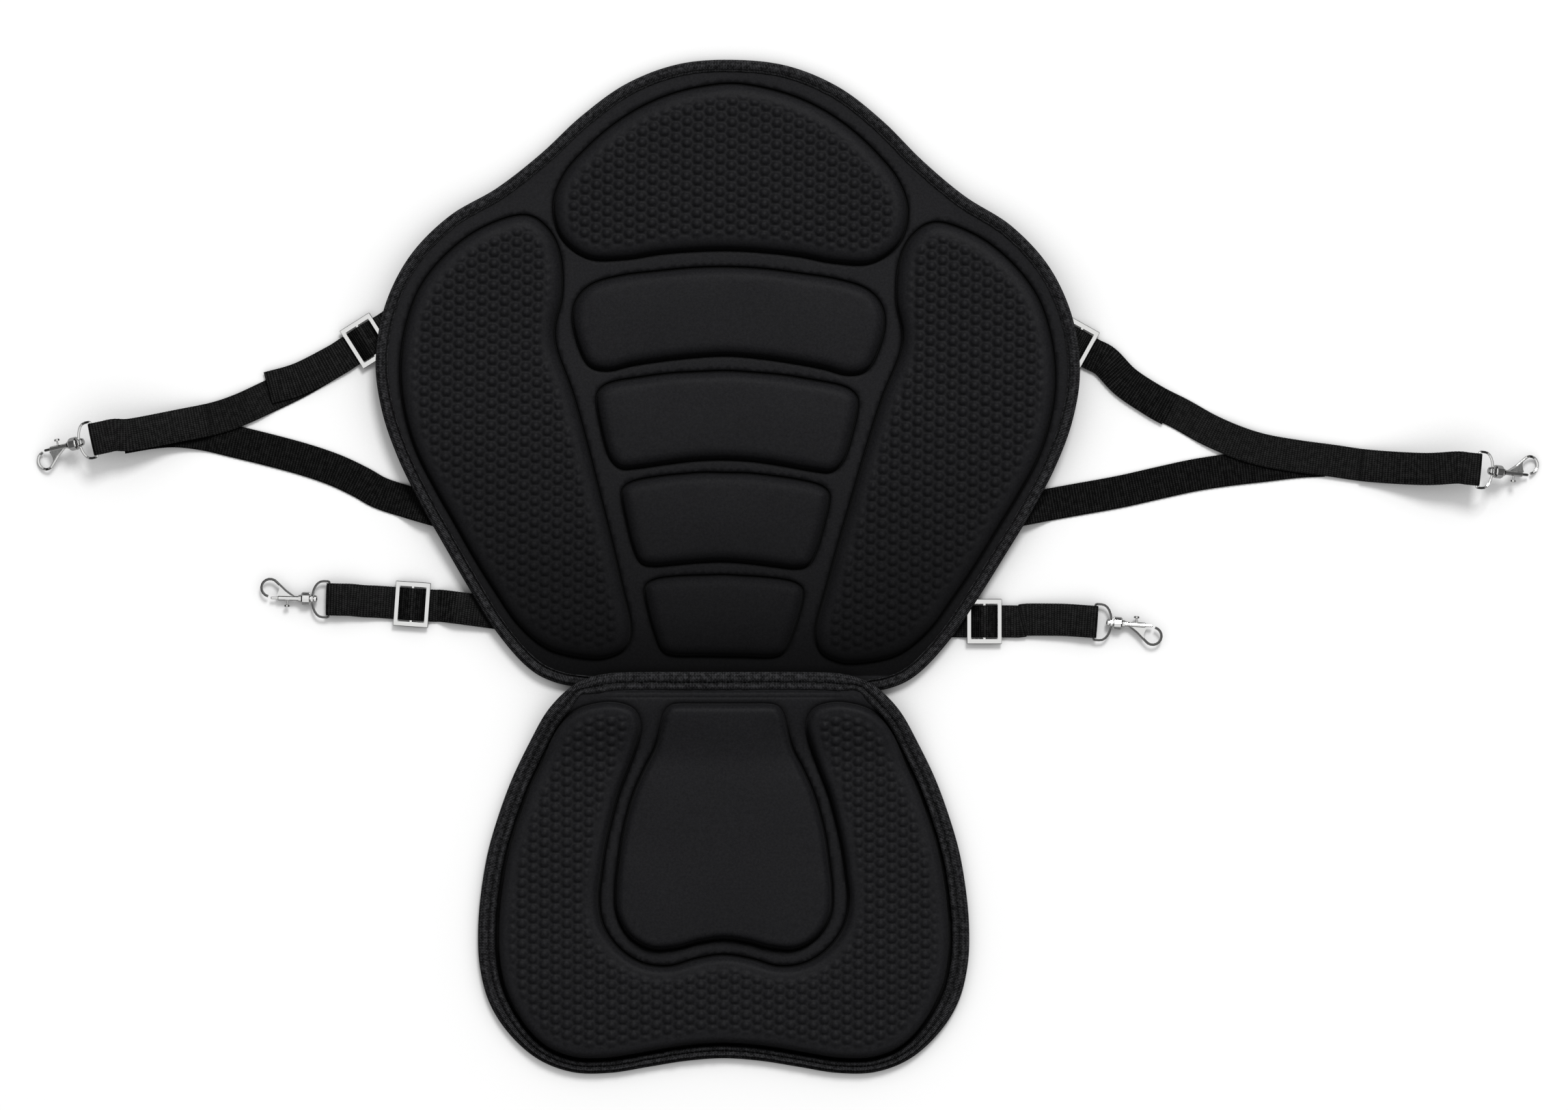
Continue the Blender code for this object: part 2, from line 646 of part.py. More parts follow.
def from_hook(name):
    """A strap's plan route, which leaves its hook along the hook's own heading."""
    bar = np.array(STRAP_ROUTES[name][0])
    way = heading(HOOKS[name]["heading"])
    return [bar, bar - 8 * way, bar - 16 * way] + STRAP_ROUTES[name][1:]


SLOT_Z = BACK_BASE + WEBBING_THICK / 2  # webbing that passes under an outer bar
FRAME_LOW = SLOT_Z + WEBBING_THICK / 2 + GAP
BAR_Z = FRAME_LOW + SLIDER_THICK / 2
FLOOR_Z = WEBBING_THICK / 2
WRAP_RADIUS = math.hypot(SLIDER_CENTRE_BAR, SLIDER_THICK) / 2 + GAP + WEBBING_THICK / 2
OVER_RADIUS = WRAP_RADIUS + WEBBING_THICK + GAP
RAMP_REACH = 9.0


def over_centre_bar(s):
    """Side profile from the right of a slider, over its centre bar, to the left."""
    lean = math.degrees(math.asin(OVER_RADIUS / math.hypot(RAMP_REACH, BAR_Z - SLOT_Z))
                        + math.atan2(BAR_Z - SLOT_Z, RAMP_REACH))
    top = arc((s, BAR_Z), OVER_RADIUS, 90 - lean, 90 + lean, 7)
    return [(s + RAMP_REACH, SLOT_Z)] + top + [(s - RAMP_REACH, SLOT_Z)]


def wrap_centre_bar(s):
    """Side profile of a strap end that comes from the left and wraps the centre bar."""
    return [(s - RAMP_REACH, FLOOR_Z)] + arc((s, BAR_Z), WRAP_RADIUS, -84, 165, 10)


def fold_round_bar(bar_z):
    """Side profile of webbing that comes in above a hook's bar and goes back below it."""
    radius = EYE_WIRE / 2 + GAP + WEBBING_THICK / 2
    return arc((0.0, bar_z), radius, 90, 270, 9)


def make_lower_strap(side):
    """From under the backrest, through the slider, round the hook and back to the slider."""
    name = side + "_lower"
    route, s = through_slider(from_hook(name), name, [ANCHOR_ENDS[name]])
    end = lengths(route)[-1]
    profile = anchor_profile(end, s) + over_centre_bar(s)
    profile += [(s - 14, SLOT_Z), (s - 24, SLOT_Z + 0.6)]
    fold = fold_round_bar(LOW_BAR_Z)
    profile += [(14.0, fold[0][1] - 0.9), (7.0, fold[0][1])] + fold
    profile += [(7.0, fold[-1][1] - 0.1), (14.0, FLOOR_Z + 1.0), (24.0, FLOOR_Z),
                (s - 24, FLOOR_Z)]
    profile += wrap_centre_bar(s)
    return ribbon(side + "_lower_strap", route, profile, slider_ground(name))


def dipped_bar_z():
    """Height of the bar of a hook whose nose dips until it just clears the floor."""
    dip = math.radians(HOOKS["left_upper"]["dip"])
    tip = LOOP_CENTRE_X + LOOP_RADIUS + LOOP_WIRE / 2
    return tip * math.sin(dip) + LOOP_WIRE / 2 * math.cos(dip) + GAP


def y_ground(side):
    """The height at which a Y strap's sewn plies are held up, by place in plan."""
    name = side + "_upper"
    bar, way = np.array(STRAP_ROUTES[name][0]), heading(HOOKS[name]["heading"])
    top = dipped_bar_z() - MIDDLE_PLY_Z

    return lambda at: top * float(ease(1 - (bar - at) @ way / Y_RISE_FROM))


def wing_ground(origin, way, start, stop):
    """The height at which the backrest's wing holds up webbing sewn under it.

    The webbing climbs to the wing between two distances from the origin, along the way.
    """
    def held(at):
        local_x = (at - np.array((HINGE_X, HINGE_Y))) @ heading(BACK_YAW_DEG)
        climbed = ease(((at - origin) @ way - start) / (stop - start))
        return float(wing_lift(local_x) * climbed)

    return held


def slider_ground(name):
    centre, deg = SLIDERS[name]
    return wing_ground(np.array(centre), heading(deg), *ANCHOR_CLIMB)


def anchor_profile(end, s):
    """Side profile from an end sewn under the backrest to the near bar of a slider."""
    climb = [(u, FLOOR_Z) for u in np.linspace(s + ANCHOR_CLIMB[1], s + ANCHOR_CLIMB[0] + 4, 4)]
    return [(end, FLOOR_Z)] + climb + [(s + 14, SLOT_Z)]


def make_y_leg(side):
    """The Y strap's long leg: sewn fold, round the hook, and along to the slider."""
    name = side + "_upper"
    route, s = through_slider(from_hook(name), name, [])
    fold = fold_round_bar(MIDDLE_PLY_Z)
    upper, lower = FLOOR_Z + 2 * PLY_STEP, FLOOR_Z + PLY_STEP
    start, stop = Y_LEVEL_DROP[side]
    profile = [(u, upper) for u in np.linspace(FOLD_LENGTH, 18.0, 7)]
    profile += [(9.0, 0.5 * (upper + fold[0][1]))] + fold
    profile += [(9.0, 0.5 * (lower + fold[-1][1]))]
    profile += [(u, lower) for u in np.linspace(18.0, FOLD_LENGTH, 7)]
    profile += [(start, lower), (stop, FLOOR_Z), (s - 22, FLOOR_Z)]
    profile += wrap_centre_bar(s)
    return ribbon(side + "_upper_leg", route, profile, y_ground(side))


def make_tail_anchor(side):
    """The short webbing sewn under the backrest, with its tail lying on the long leg."""
    name = side + "_upper"
    route, s = through_slider(TAIL_ENDS[name], name, [ANCHOR_ENDS[name]])
    end = lengths(route)[-1]
    profile = anchor_profile(end, s) + over_centre_bar(s)
    profile += [(s - 14, SLOT_Z), (s - 40, SLOT_Z), (0.0, SLOT_Z)]
    return ribbon(side + "_slider_anchor", route, profile, slider_ground(name))


def make_lower_leg(side):
    """The Y strap's short leg, from its cut end under the long leg to the backrest."""
    route = resample(spline(LOWER_LEGS[side], False), 3.0, False)
    end = lengths(route)[-1]
    way = (route[-1] - route[-4]) / np.linalg.norm(route[-1] - route[-4])
    near_hook = y_ground(side)
    under_wing = wing_ground(route[-1], way, *LEG_CLIMB)
    stations = list(np.arange(0.0, 90.0, 11.0)) + list(np.linspace(100.0, end - 72.0, 5))
    stations += list(np.linspace(end - 62.0, end, 7))
    return ribbon(side + "_lower_leg", route, [(s, FLOOR_Z) for s in stations],
                  lambda at: near_hook(at) + under_wing(at))


# Sliders

def boolean(ob, tool, operation):
    cut = ob.modifiers.new(operation.lower(), "BOOLEAN")
    cut.operation = operation
    cut.solver = "EXACT"
    cut.object = tool
    bpy.context.view_layer.objects.active = ob
    bpy.ops.object.modifier_apply(modifier=cut.name)
    bpy.data.objects.remove(tool, do_unlink=True)


def box(name, low, high, finish=(NICKEL, 0.3, 1.0), matrix=None):
    points = [(x, y, z) for x in (low[0], high[0]) for y in (low[1], high[1])
              for z in (low[2], high[2])]
    faces = [(0, 1, 3, 2), (4, 6, 7, 5), (0, 4, 5, 1), (2, 3, 7, 6), (0, 2, 6, 4),
             (1, 5, 7, 3)]
    return add_object(name, points, faces, finish, smooth=False, matrix=matrix)


def bevelled(ob, width, segments=2):
    edge = ob.modifiers.new("rounded edges", "BEVEL")
    edge.width = width * MM
    edge.segments = segments
    edge.limit_method = "ANGLE"
    bpy.context.view_layer.objects.active = ob
    bpy.ops.object.modifier_apply(modifier=edge.name)


def make_slider(name):
    """A flat stamped frame with two slots on either side of its centre bar."""
    (x, y), deg = SLIDERS[name]
    place = Matrix.Translation(Vector((x, y, BAR_Z)) * MM)
    place = place @ Matrix.Rotation(math.radians(deg), 4, "Z")
    half = (SLIDER_LENGTH / 2, SLIDER_WIDTH / 2, SLIDER_THICK / 2)
    frame = box(name + "_slider", [-v for v in half], half)
    bar, across = SLIDER_CENTRE_BAR / 2, SLIDER_WIDTH / 2 - SLIDER_RAIL
    outer = SLIDER_LENGTH / 2 - SLIDER_BAR
    for low, high in ((-outer, -bar), (bar, outer)):
        slot = box("slot", (low, -across, -3), (high, across, 3))
        boolean(frame, slot, "DIFFERENCE")
    bevelled(frame, 0.4, 1)
    frame.matrix_world = place
    return frame


# Swivel eyes and snap hooks

def hook_matrix(name):
    """Frame at the middle of a hook's bar: X along the shank, Y across, towards the loop."""
    facts = HOOKS[name]
    x, y = STRAP_ROUTES[name][0]
    z = dipped_bar_z() if facts["dip"] else LOW_BAR_Z
    place = Matrix.Translation(Vector((x, y, z)) * MM)
    turn = Matrix.Rotation(math.radians(facts["heading"]), 4, "Z")
    dip = Matrix.Rotation(math.radians(facts["dip"]), 4, "Y")
    roll = Matrix.Rotation(0.0 if facts["side"] > 0 else math.pi, 4, "X")
    return place @ turn @ dip @ roll


def turned(name, profile, segments, finish, matrix=None):
    """A solid turned about the X axis from a closed (x, radius) profile."""
    points, faces = [], []
    n = len(profile)
    for k in range(segments):
        a = 2 * math.pi * k / segments
        points += [(x, r * math.cos(a), r * math.sin(a)) for x, r in profile]
    for k in range(segments):
        j = (k + 1) % segments
        faces += [(k * n + i, k * n + (i + 1) % n, j * n + (i + 1) % n, j * n + i)
                  for i in range(n)]
    ob = add_object(name, points, faces, finish, matrix=matrix)
    bm = bmesh.new()
    bm.from_mesh(ob.data)
    bmesh.ops.remove_doubles(bm, verts=bm.verts, dist=1e-7)
    bmesh.ops.dissolve_degenerate(bm, edges=bm.edges, dist=1e-7)
    bmesh.ops.recalc_face_normals(bm, faces=bm.faces)
    bm.to_mesh(ob.data)
    bm.free()
    return ob


def wire(name, path, radius, sides, closed, finish, matrix=None):
    """A round wire along a path that lies mostly in the XY plane."""
    path = np.array(path, float)
    n = len(path)
    if closed:
        run = np.roll(path, -1, 0) - np.roll(path, 1, 0)
    else:
        run = np.gradient(path, axis=0)
    run /= np.linalg.norm(run, axis=1)[:, None]
    up = np.array([0.0, 0.0, 1.0])
    points, faces = [], []
    for p, t in zip(path, run):
        side = np.cross(up, t)
        side /= np.linalg.norm(side)
        rise = np.cross(t, side)
        for k in range(sides):
            a = 2 * math.pi * (k + 0.5) / sides
            points.append(tuple(p + radius * (math.cos(a) * side + math.sin(a) * rise)))
    spans = n if closed else n - 1
    for i in range(spans):
        j = (i + 1) % n
        faces += [(i * sides + k, j * sides + k, j * sides + (k + 1) % sides,
                   i * sides + (k + 1) % sides) for k in range(sides)]
    if not closed:
        faces += [tuple(range(sides)), tuple((n - 1) * sides + k for k in range(sides))[::-1]]
    return add_object(name, points, faces, finish, matrix=matrix)


def eye_path():
    """The D: a straight bar, short sides and a bow, as a closed loop of points."""
    w, c = EYE_HALF_WIDTH, EYE_CORNER
    corner = [(c - c * math.cos(a), -w + c - c * math.sin(a))
              for a in np.radians((0, 45, 90))]
    bow = []
    for a in np.radians(np.linspace(-90, 90, 13)):
        reach = abs(math.cos(a)) ** 0.9
        bow.append((EYE_SIDE + (EYE_DEPTH - EYE_SIDE) * reach, w * math.sin(a)))
    upper = [(x, -y) for x, y in reversed(corner)]
    straight = [(0.0, w * t) for t in (0.45, 0.0, -0.45)]
    return [(x, y, 0.0) for x, y in corner + bow + upper + straight]


def make_eye(name, place):
    steel = (NICKEL, 0.15, 1.0)
    eye = wire(name + "_swivel_eye", eye_path(), EYE_WIRE / 2, 6, True, steel)
    mid, half = EYE_DEPTH, EYE_BOSS_THICK / 2
    r, hole = EYE_BOSS_DIA / 2, STEM_DIA / 2 + GAP
    boss = turned("boss", [(mid - half, 0), (mid - half, r - 0.5), (mid - half + 0.5, r),
                           (mid + half - 0.5, r), (mid + half, r - 0.5), (mid + half, 0)],
                  12, steel)
    boolean(eye, boss, "UNION")
    drill = turned("drill", [(mid - 4, 0), (mid - 4, hole), (mid + 4, hole), (mid + 4, 0)],
                   12, steel)
    boolean(eye, drill, "DIFFERENCE")
    eye.matrix_world = place
    return eye


def loop_path():
    """The hook's loop, from the shank's side, round the far end, to the nose."""
    ring = arc((LOOP_CENTRE_X, LOOP_OFFSET), LOOP_RADIUS, 140, -78, 12)
    strand = [(SHANK_END - LOOP_ROOT_BACK, SHANK_DIA / 4),
              (SHANK_END - LOOP_BEND_BACK, LOOP_OFFSET - LOOP_BEND_DROP)]
    return [(x, y, 0.0) for x, y in strand + ring]


def make_hook(name, place):
    steel = (NICKEL, 0.12, 1.0)
    r, bore = SHANK_DIA / 2, BORE_DIA / 2
    head, stem = RIVET_HEAD_DIA / 2, STEM_DIA / 2
    face = RIVET_FACE
    profile = [(RIVET_HEAD_START, 0), (RIVET_HEAD_START + 0.3, head * 0.6),
               (RIVET_HEAD_START + 1.0, head * 0.92), (face - 0.6, head), (face, head),
               (face, stem), (BARREL_START, stem), (BARREL_START, BARREL_DIA / 2 - 0.6),
               (BARREL_START + 0.6, BARREL_DIA / 2), (BARREL_END - 1.0, BARREL_DIA / 2),
               (BARREL_END, BARREL_DIA / 2 - 0.8), (BARREL_END, NECK_DIA / 2),
               (NECK_END, NECK_DIA / 2 - 0.3), (NECK_END, r), (SHANK_END - 0.4, r),
               (SHANK_END, r - 0.3), (SHANK_END, bore), (BORE_START, bore),
               (BORE_START, 0)]
    hook = turned(name + "_snap_hook", profile, 12, steel)
    loop = wire("loop", loop_path(), LOOP_WIRE / 2, 6, False, steel)
    web = make_web(steel)
    boolean(web, loop, "UNION")
    clear_bore = turned("bore", [(BORE_START + 2, 0), (BORE_START + 2, r - 0.25),
                                 (SHANK_END + 3, r - 0.25), (SHANK_END + 3, 0)], 12, steel)
    boolean(web, clear_bore, "DIFFERENCE")
    boolean(hook, web, "UNION")
    front = KNOB_X + KNOB_STEM_DIA / 2 + GAP
    slot = box("slot", (KNOB_X - PLUNGER_TRAVEL - 1, -4, -0.95), (front, -0.3, 0.95))
    boolean(hook, slot, "DIFFERENCE")
    hook.matrix_world = place
    return hook


def make_web(finish):
    """The flat triangle of metal between the shank and the loop."""
    foot = SHANK_DIA * 0.3
    ring = arc((LOOP_CENTRE_X, LOOP_OFFSET), LOOP_RADIUS + 0.3, 140, 208, 4)
    edge = [(SHANK_END - 11.2, foot), (SHANK_END - 5.2, LOOP_OFFSET - 1.0)] + ring
    edge.append((SHANK_END + 1.3, foot))
    points = [(x, y, -0.8) for x, y in edge] + [(x, y, 0.8) for x, y in edge]
    n = len(edge)
    faces = [tuple(range(n))[::-1], tuple(range(n, 2 * n))]
    faces += [(i, (i + 1) % n, n + (i + 1) % n, n + i) for i in range(n)]
    return add_object("web", points, faces, finish, smooth=False)


def make_plunger(name, place):
    """The spring bolt that closes the loop, with the thumb knob that draws it back."""
    steel = (NICKEL, 0.15, 1.0)
    r = PLUNGER_DIA / 2
    bolt = turned(name + "_plunger", [(PLUNGER_START, 0), (PLUNGER_START, r),
                                      (NOSE_X - 1.8, r), (NOSE_X - 1.3, r - 0.35),
                                      (NOSE_X - 1.3, 0)], 8, steel)
    out, s = KNOB_OUT, KNOB_STEM_DIA / 2
    knob = turned("knob", [(0.4, 0), (0.4, s), (out, s), (out, KNOB_DIA / 2 - 0.3),
                           (out + 0.3, KNOB_DIA / 2), (out + KNOB_THICK - 0.4, KNOB_DIA / 2),
                           (out + KNOB_THICK, KNOB_DIA / 2 - 0.6), (out + KNOB_THICK, 0)],
                  10, steel)
    knob.matrix_world = (Matrix.Translation(Vector((KNOB_X, 0, 0)) * MM)
                         @ Matrix.Rotation(-math.pi / 2, 4, "Z"))
    boolean(bolt, knob, "UNION")
    bolt.matrix_world = place
    return bolt


def make_spring(name, place):
    """The coil spring in the bore, between its blind end and the plunger."""
    start = BORE_START + GAP + SPRING_WIRE / 2
    end = PLUNGER_START - GAP - SPRING_WIRE / 2
    mean = BORE_DIA / 2 - GAP - SPRING_WIRE / 2
    sides, per_turn = 3, 6
    points, faces = [], []
    count = SPRING_TURNS * per_turn + 1
    for i in range(count):
        a = 2 * math.pi * i / per_turn
        x = start + (end - start) * i / (count - 1)
        out = Vector((0, math.cos(a), math.sin(a)))
        middle = Vector((x, 0, 0)) + out * mean
        for k in range(sides):
            b = 2 * math.pi * k / sides
            offset = out * math.cos(b) + Vector((1, 0, 0)) * math.sin(b)
            points.append(tuple(middle + offset * SPRING_WIRE / 2))
    for i in range(count - 1):
        faces += [(i * sides + k, (i + 1) * sides + k, (i + 1) * sides + (k + 1) % sides,
                   i * sides + (k + 1) % sides) for k in range(sides)]
    last = (count - 1) * sides
    faces += [tuple(range(sides)), tuple(last + k for k in range(sides))[::-1]]
    return add_object(name + "_plunger_spring", points, faces, (STEEL, 0.3, 1.0),
                      matrix=place)


def make_padded_parts():
    make_seat_backing()
    make_seat_pad()
    make_seat_binding()
    make_back_backing()
    make_back_pad()
    make_back_binding()


def make_straps():
    for side in ("left", "right"):
        make_y_leg(side)
        make_tail_anchor(side)
        make_lower_leg(side)
        make_lower_strap(side)


def make_hardware():
    for name in HOOKS:
        place = hook_matrix(name)
        make_slider(name)
        make_eye(name, place)
        make_hook(name, place)
        make_plunger(name, place)
        make_spring(name, place)


def main():
    clear_scene()
    make_padded_parts()
    make_straps()
    make_hardware()
    total = 0
    for ob in bpy.data.objects:
        ob.data.calc_loop_triangles()
        total += len(ob.data.loop_triangles)
        print(ob.name, len(ob.data.loop_triangles))
    print("triangles", total)


main()
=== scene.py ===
# %% [markdown]
# A padded kayak seat, lying open on a white floor.
#
# The seat and its backrest are foam pads pressed in a hot mould between two cloths. The mould
# leaves raised panels, the channels between them, and a field of small round bumps. A ribbed
# tape is sewn round each edge. Webbing straps, stamped sliders and swivel snap hooks tie the
# seat to a boat. The CAD model holds the sizes, and this script gives each soft piece its fine
# form and each metal piece its finish.

# %% The frame
import math

import bmesh
import bpy
import numpy as np
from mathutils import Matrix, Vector, noise
from mathutils.geometry import delaunay_2d_cdt
from mathutils.kdtree import KDTree


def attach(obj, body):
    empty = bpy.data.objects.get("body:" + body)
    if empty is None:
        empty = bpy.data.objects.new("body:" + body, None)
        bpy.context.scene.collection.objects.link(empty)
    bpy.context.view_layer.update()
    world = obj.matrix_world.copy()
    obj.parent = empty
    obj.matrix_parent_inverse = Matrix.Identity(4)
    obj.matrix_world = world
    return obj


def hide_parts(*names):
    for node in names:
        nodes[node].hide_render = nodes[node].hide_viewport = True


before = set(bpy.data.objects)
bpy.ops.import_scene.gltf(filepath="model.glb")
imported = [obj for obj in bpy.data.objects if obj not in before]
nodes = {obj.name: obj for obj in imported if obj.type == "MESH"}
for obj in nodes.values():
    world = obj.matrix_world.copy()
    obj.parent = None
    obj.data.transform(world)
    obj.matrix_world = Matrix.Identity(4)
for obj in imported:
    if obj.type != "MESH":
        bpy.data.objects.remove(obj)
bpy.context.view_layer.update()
MM = 0.001

# %% [markdown]
# The photograph looks straight down on the seat from far away, so the camera does too. Its
# frame is 1183 mm wide at the height of the pads. A long lens keeps tall and low pieces at the
# same scale, as in the photograph.

# %% Camera
FRAME_WIDTH = 1183.1
FRAME_CENTRE = (45.6, 239.7)
CAMERA_HEIGHT = 5200.0
SHARP_HEIGHT = 12.0
SENSOR = 36.0

camera = bpy.data.objects.new("camera", bpy.data.cameras.new("camera"))
bpy.context.scene.collection.objects.link(camera)
camera.location = Vector((*FRAME_CENTRE, CAMERA_HEIGHT)) * MM
camera.data.sensor_width = SENSOR
camera.data.lens = SENSOR * (CAMERA_HEIGHT - SHARP_HEIGHT) / FRAME_WIDTH
camera.data.clip_end = 100.0
bpy.context.scene.camera = camera
bpy.context.scene.view_settings.view_transform = "Standard"
print("lens", round(camera.data.lens), "mm")

# %% [markdown]
# Colours are written as the hex codes of a paint program and turned into the linear values that
# a shader works with. One small function adds a node, sets its values and joins its inputs.

# %% Colour and node helpers


def linear(code):
    """Linear red, green, blue and alpha from a hex sRGB code."""
    parts = [int(code[i:i + 2], 16) / 255 for i in (1, 3, 5)]
    return [c / 12.92 if c <= 0.04045 else ((c + 0.055) / 1.055) ** 2.4 for c in parts] + [1.0]


def grey(level):
    """A linear grey that stands for a strength or a share."""
    return (level, level, level, 1.0)


def add_node(tree, kind, inputs=None, **settings):
    """Add a node. An input is a value, or an output socket to link from."""
    node = tree.nodes.new(kind)
    for key, value in settings.items():
        setattr(node, key, value)
    for key, value in (inputs or {}).items():
        if isinstance(value, bpy.types.NodeSocket):
            tree.links.new(value, node.inputs[key])
        else:
            node.inputs[key].default_value = value
    return node


def sums(tree, operation, *inputs):
    """One sum on numbers or sockets."""
    return add_node(tree, "ShaderNodeMath", dict(enumerate(inputs)),
                    operation=operation).outputs[0]


def mixed(tree, factor, first, second, blend_type="MIX"):
    """Two colours blended."""
    return add_node(tree, "ShaderNodeMix", {0: factor, 6: first, 7: second},
                    data_type="RGBA", blend_type=blend_type).outputs[2]


def ramp(tree, factor, stops):
    """A colour ramp through (position, grey level) or (position, hex code) stops."""
    node = add_node(tree, "ShaderNodeValToRGB", {"Fac": factor})
    points = node.color_ramp.elements
    while len(points) < len(stops):
        points.new(0.5)
    for point, (place, value) in zip(points, stops):
        point.position = place
        point.color = linear(value) if isinstance(value, str) else grey(value)
    return node.outputs["Color"]


def cloudy(tree, place, size_mm, detail, roughness=0.5):
    """Noise whose clouds have a size in millimetres, from 0 to 1."""
    return add_node(tree, "ShaderNodeTexNoise",
                    {"Vector": place, "Scale": 1 / (size_mm * MM), "Detail": detail,
                     "Roughness": roughness}).outputs["Fac"]


def ranged(tree, value, **limits):
    """A value moved from one range to another."""
    names = {key.replace("_", " ").title(): limit for key, limit in limits.items()}
    return add_node(tree, "ShaderNodeMapRange", {"Value": value, **names}).outputs[0]


def closed_in(tree, reach, power, samples):
    """1 in the open, and towards 0 where other surfaces within reach close a spot in."""
    sky = add_node(tree, "ShaderNodeAmbientOcclusion", {"Distance": reach}, samples=samples)
    return sums(tree, "POWER", sky.outputs["AO"], power)


def bump(tree, shader, height, depth_mm, strength):
    """Let the shader's surface follow a height."""
    relief = add_node(tree, "ShaderNodeBump", {"Height": height, "Distance": depth_mm * MM,
                                               "Strength": strength})
    tree.links.new(relief.outputs["Normal"], shader.inputs["Normal"])


def new_material(name, colour, roughness, metallic=0.0):
    """A material whose shader's plain values are set here and textured afterwards."""
    mat = bpy.data.materials.new(name)
    mat.use_nodes = True
    shader = mat.node_tree.nodes["Principled BSDF"]
    shader.inputs["Base Color"].default_value = linear(colour)
    shader.inputs["Roughness"].default_value = roughness
    shader.inputs["Metallic"].default_value = metallic
    return mat, mat.node_tree, shader


# %% [markdown]
# The floor is a wide white sheet. A photograph cut out on white keeps only a faint shadow, so
# part of the floor's white comes from its own glow, which fades where the object closes off
# the sky. The rest is plain white paint, which takes the key light's shadow. Metal mirrors a
# darker floor, as it would between the black cards of a photographer's table.

# %% Floor
WHITE = "#f7f7f7"
GLOW_SHARE = 0.5
GLOW_POWER = 1.26
CONTACT_REACH = 0.16
CONTACT_DEPTH = 1.7
CONTACT_SAMPLES = 12
MIRRORED_FLOOR = 0.33
FLOOR_REACH = 9.0
FLOOR_DROP = 0.0002  # keeps the floor clear of the seat's underside

floor_mesh = bpy.data.meshes.new("floor")
floor_mesh.from_pydata([(x * FLOOR_REACH, y * FLOOR_REACH, -FLOOR_DROP)
                        for x, y in ((-1, -1), (1, -1), (1, 1), (-1, 1))], [], [(0, 1, 2, 3)])
floor = bpy.data.objects.new("floor", floor_mesh)
bpy.context.scene.collection.objects.link(floor)
floor_paint, tree, shader = new_material("white matte floor paint", WHITE, 1.0)
shader.inputs["Specular IOR Level"].default_value = 0.0
rays = add_node(tree, "ShaderNodeLightPath")
# The glow fades near the object: a painted contact shadow on the floor.
shade = closed_in(tree, CONTACT_REACH, CONTACT_DEPTH, CONTACT_SAMPLES)
glow = add_node(tree, "ShaderNodeEmission",
                {"Color": grey(1.0), "Strength": sums(tree, "MULTIPLY", shade, GLOW_POWER)})
share = sums(tree, "MULTIPLY", rays.outputs["Is Camera Ray"], GLOW_SHARE)
seen = add_node(tree, "ShaderNodeMixShader", {0: share, 1: shader.outputs[0],
                                              2: glow.outputs[0]})
mirrored_glow = add_node(tree, "ShaderNodeEmission", {"Color": grey(1.0),
                                                      "Strength": MIRRORED_FLOOR})
blend = add_node(tree, "ShaderNodeMixShader", {0: rays.outputs["Is Glossy Ray"],
                                               1: seen.outputs[0],
                                               2: mirrored_glow.outputs[0]})
tree.links.new(blend.outputs[0], tree.nodes["Material Output"].inputs["Surface"])
floor_mesh.materials.append(floor_paint)

# %% [markdown]
# The light comes from a large soft window beyond the top of the backrest and a little to the
# right, as the dark lower edges of the panels in the photograph show. A dim sky fills the
# shadows. Polished metal shows the whole room, so its mirror sees a bright ceiling that falls
# to a dark horizon. That gives round wires their dark outlines.

# %% Lights
SKY = 0.13
KEY_POWER = 640.0
KEY_WAY = (0.16, 0.60, 0.79)
KEY_AWAY = 8.0
KEY_SIZE = 2.6
MIDDLE = Vector((0.0, 0.25, 0.0))
ROOM_IN_METAL = [(0.0, 0.02), (0.3, 0.02), (0.55, 0.16), (0.68, 0.85), (1.0, 1.0)]

world = bpy.data.worlds.new("studio")
world.use_nodes = True
tree = world.node_tree
rays = add_node(tree, "ShaderNodeLightPath")
way = add_node(tree, "ShaderNodeTexCoord")
parts = add_node(tree, "ShaderNodeSeparateXYZ", {0: way.outputs["Generated"]})
room = ramp(tree, parts.outputs["Z"], ROOM_IN_METAL)
level = mixed(tree, rays.outputs["Is Glossy Ray"], grey(SKY), room)
tree.links.new(level, tree.nodes["Background"].inputs["Color"])
bpy.context.scene.world = world

lamp = bpy.data.lights.new("window", "AREA")
lamp.shape = "DISK"
lamp.size = KEY_SIZE
lamp.energy = KEY_POWER
window = bpy.data.objects.new("window", lamp)
bpy.context.scene.collection.objects.link(window)
window.location = MIDDLE + Vector(KEY_WAY) * KEY_AWAY
window.rotation_euler = (MIDDLE - window.location).to_track_quat("-Z", "Y").to_euler()

# %% [markdown]
# The pads' and tapes' colours carry a painted shade: they are painted darker by how closed in
# each spot is, so that black cloth in a crease looks blacker than its lit shade alone.

# %% Painted shade in creases
# How far and how strongly the painted crease shade darkens the cloth.
CREASE_SHADE_REACH_MM = 7.0
CREASE_SHADE_POWER = 1.7
CREASE_SHADE_SAMPLES = 8


def painted_crease_shade(tree, colour):
    """A colour painted towards black where the surface is closed in, as painted crease shade."""
    wear_and_crease_shade = closed_in(tree, CREASE_SHADE_REACH_MM * MM, CREASE_SHADE_POWER, CREASE_SHADE_SAMPLES)
    return mixed(tree, wear_and_crease_shade, grey(0.0), colour)
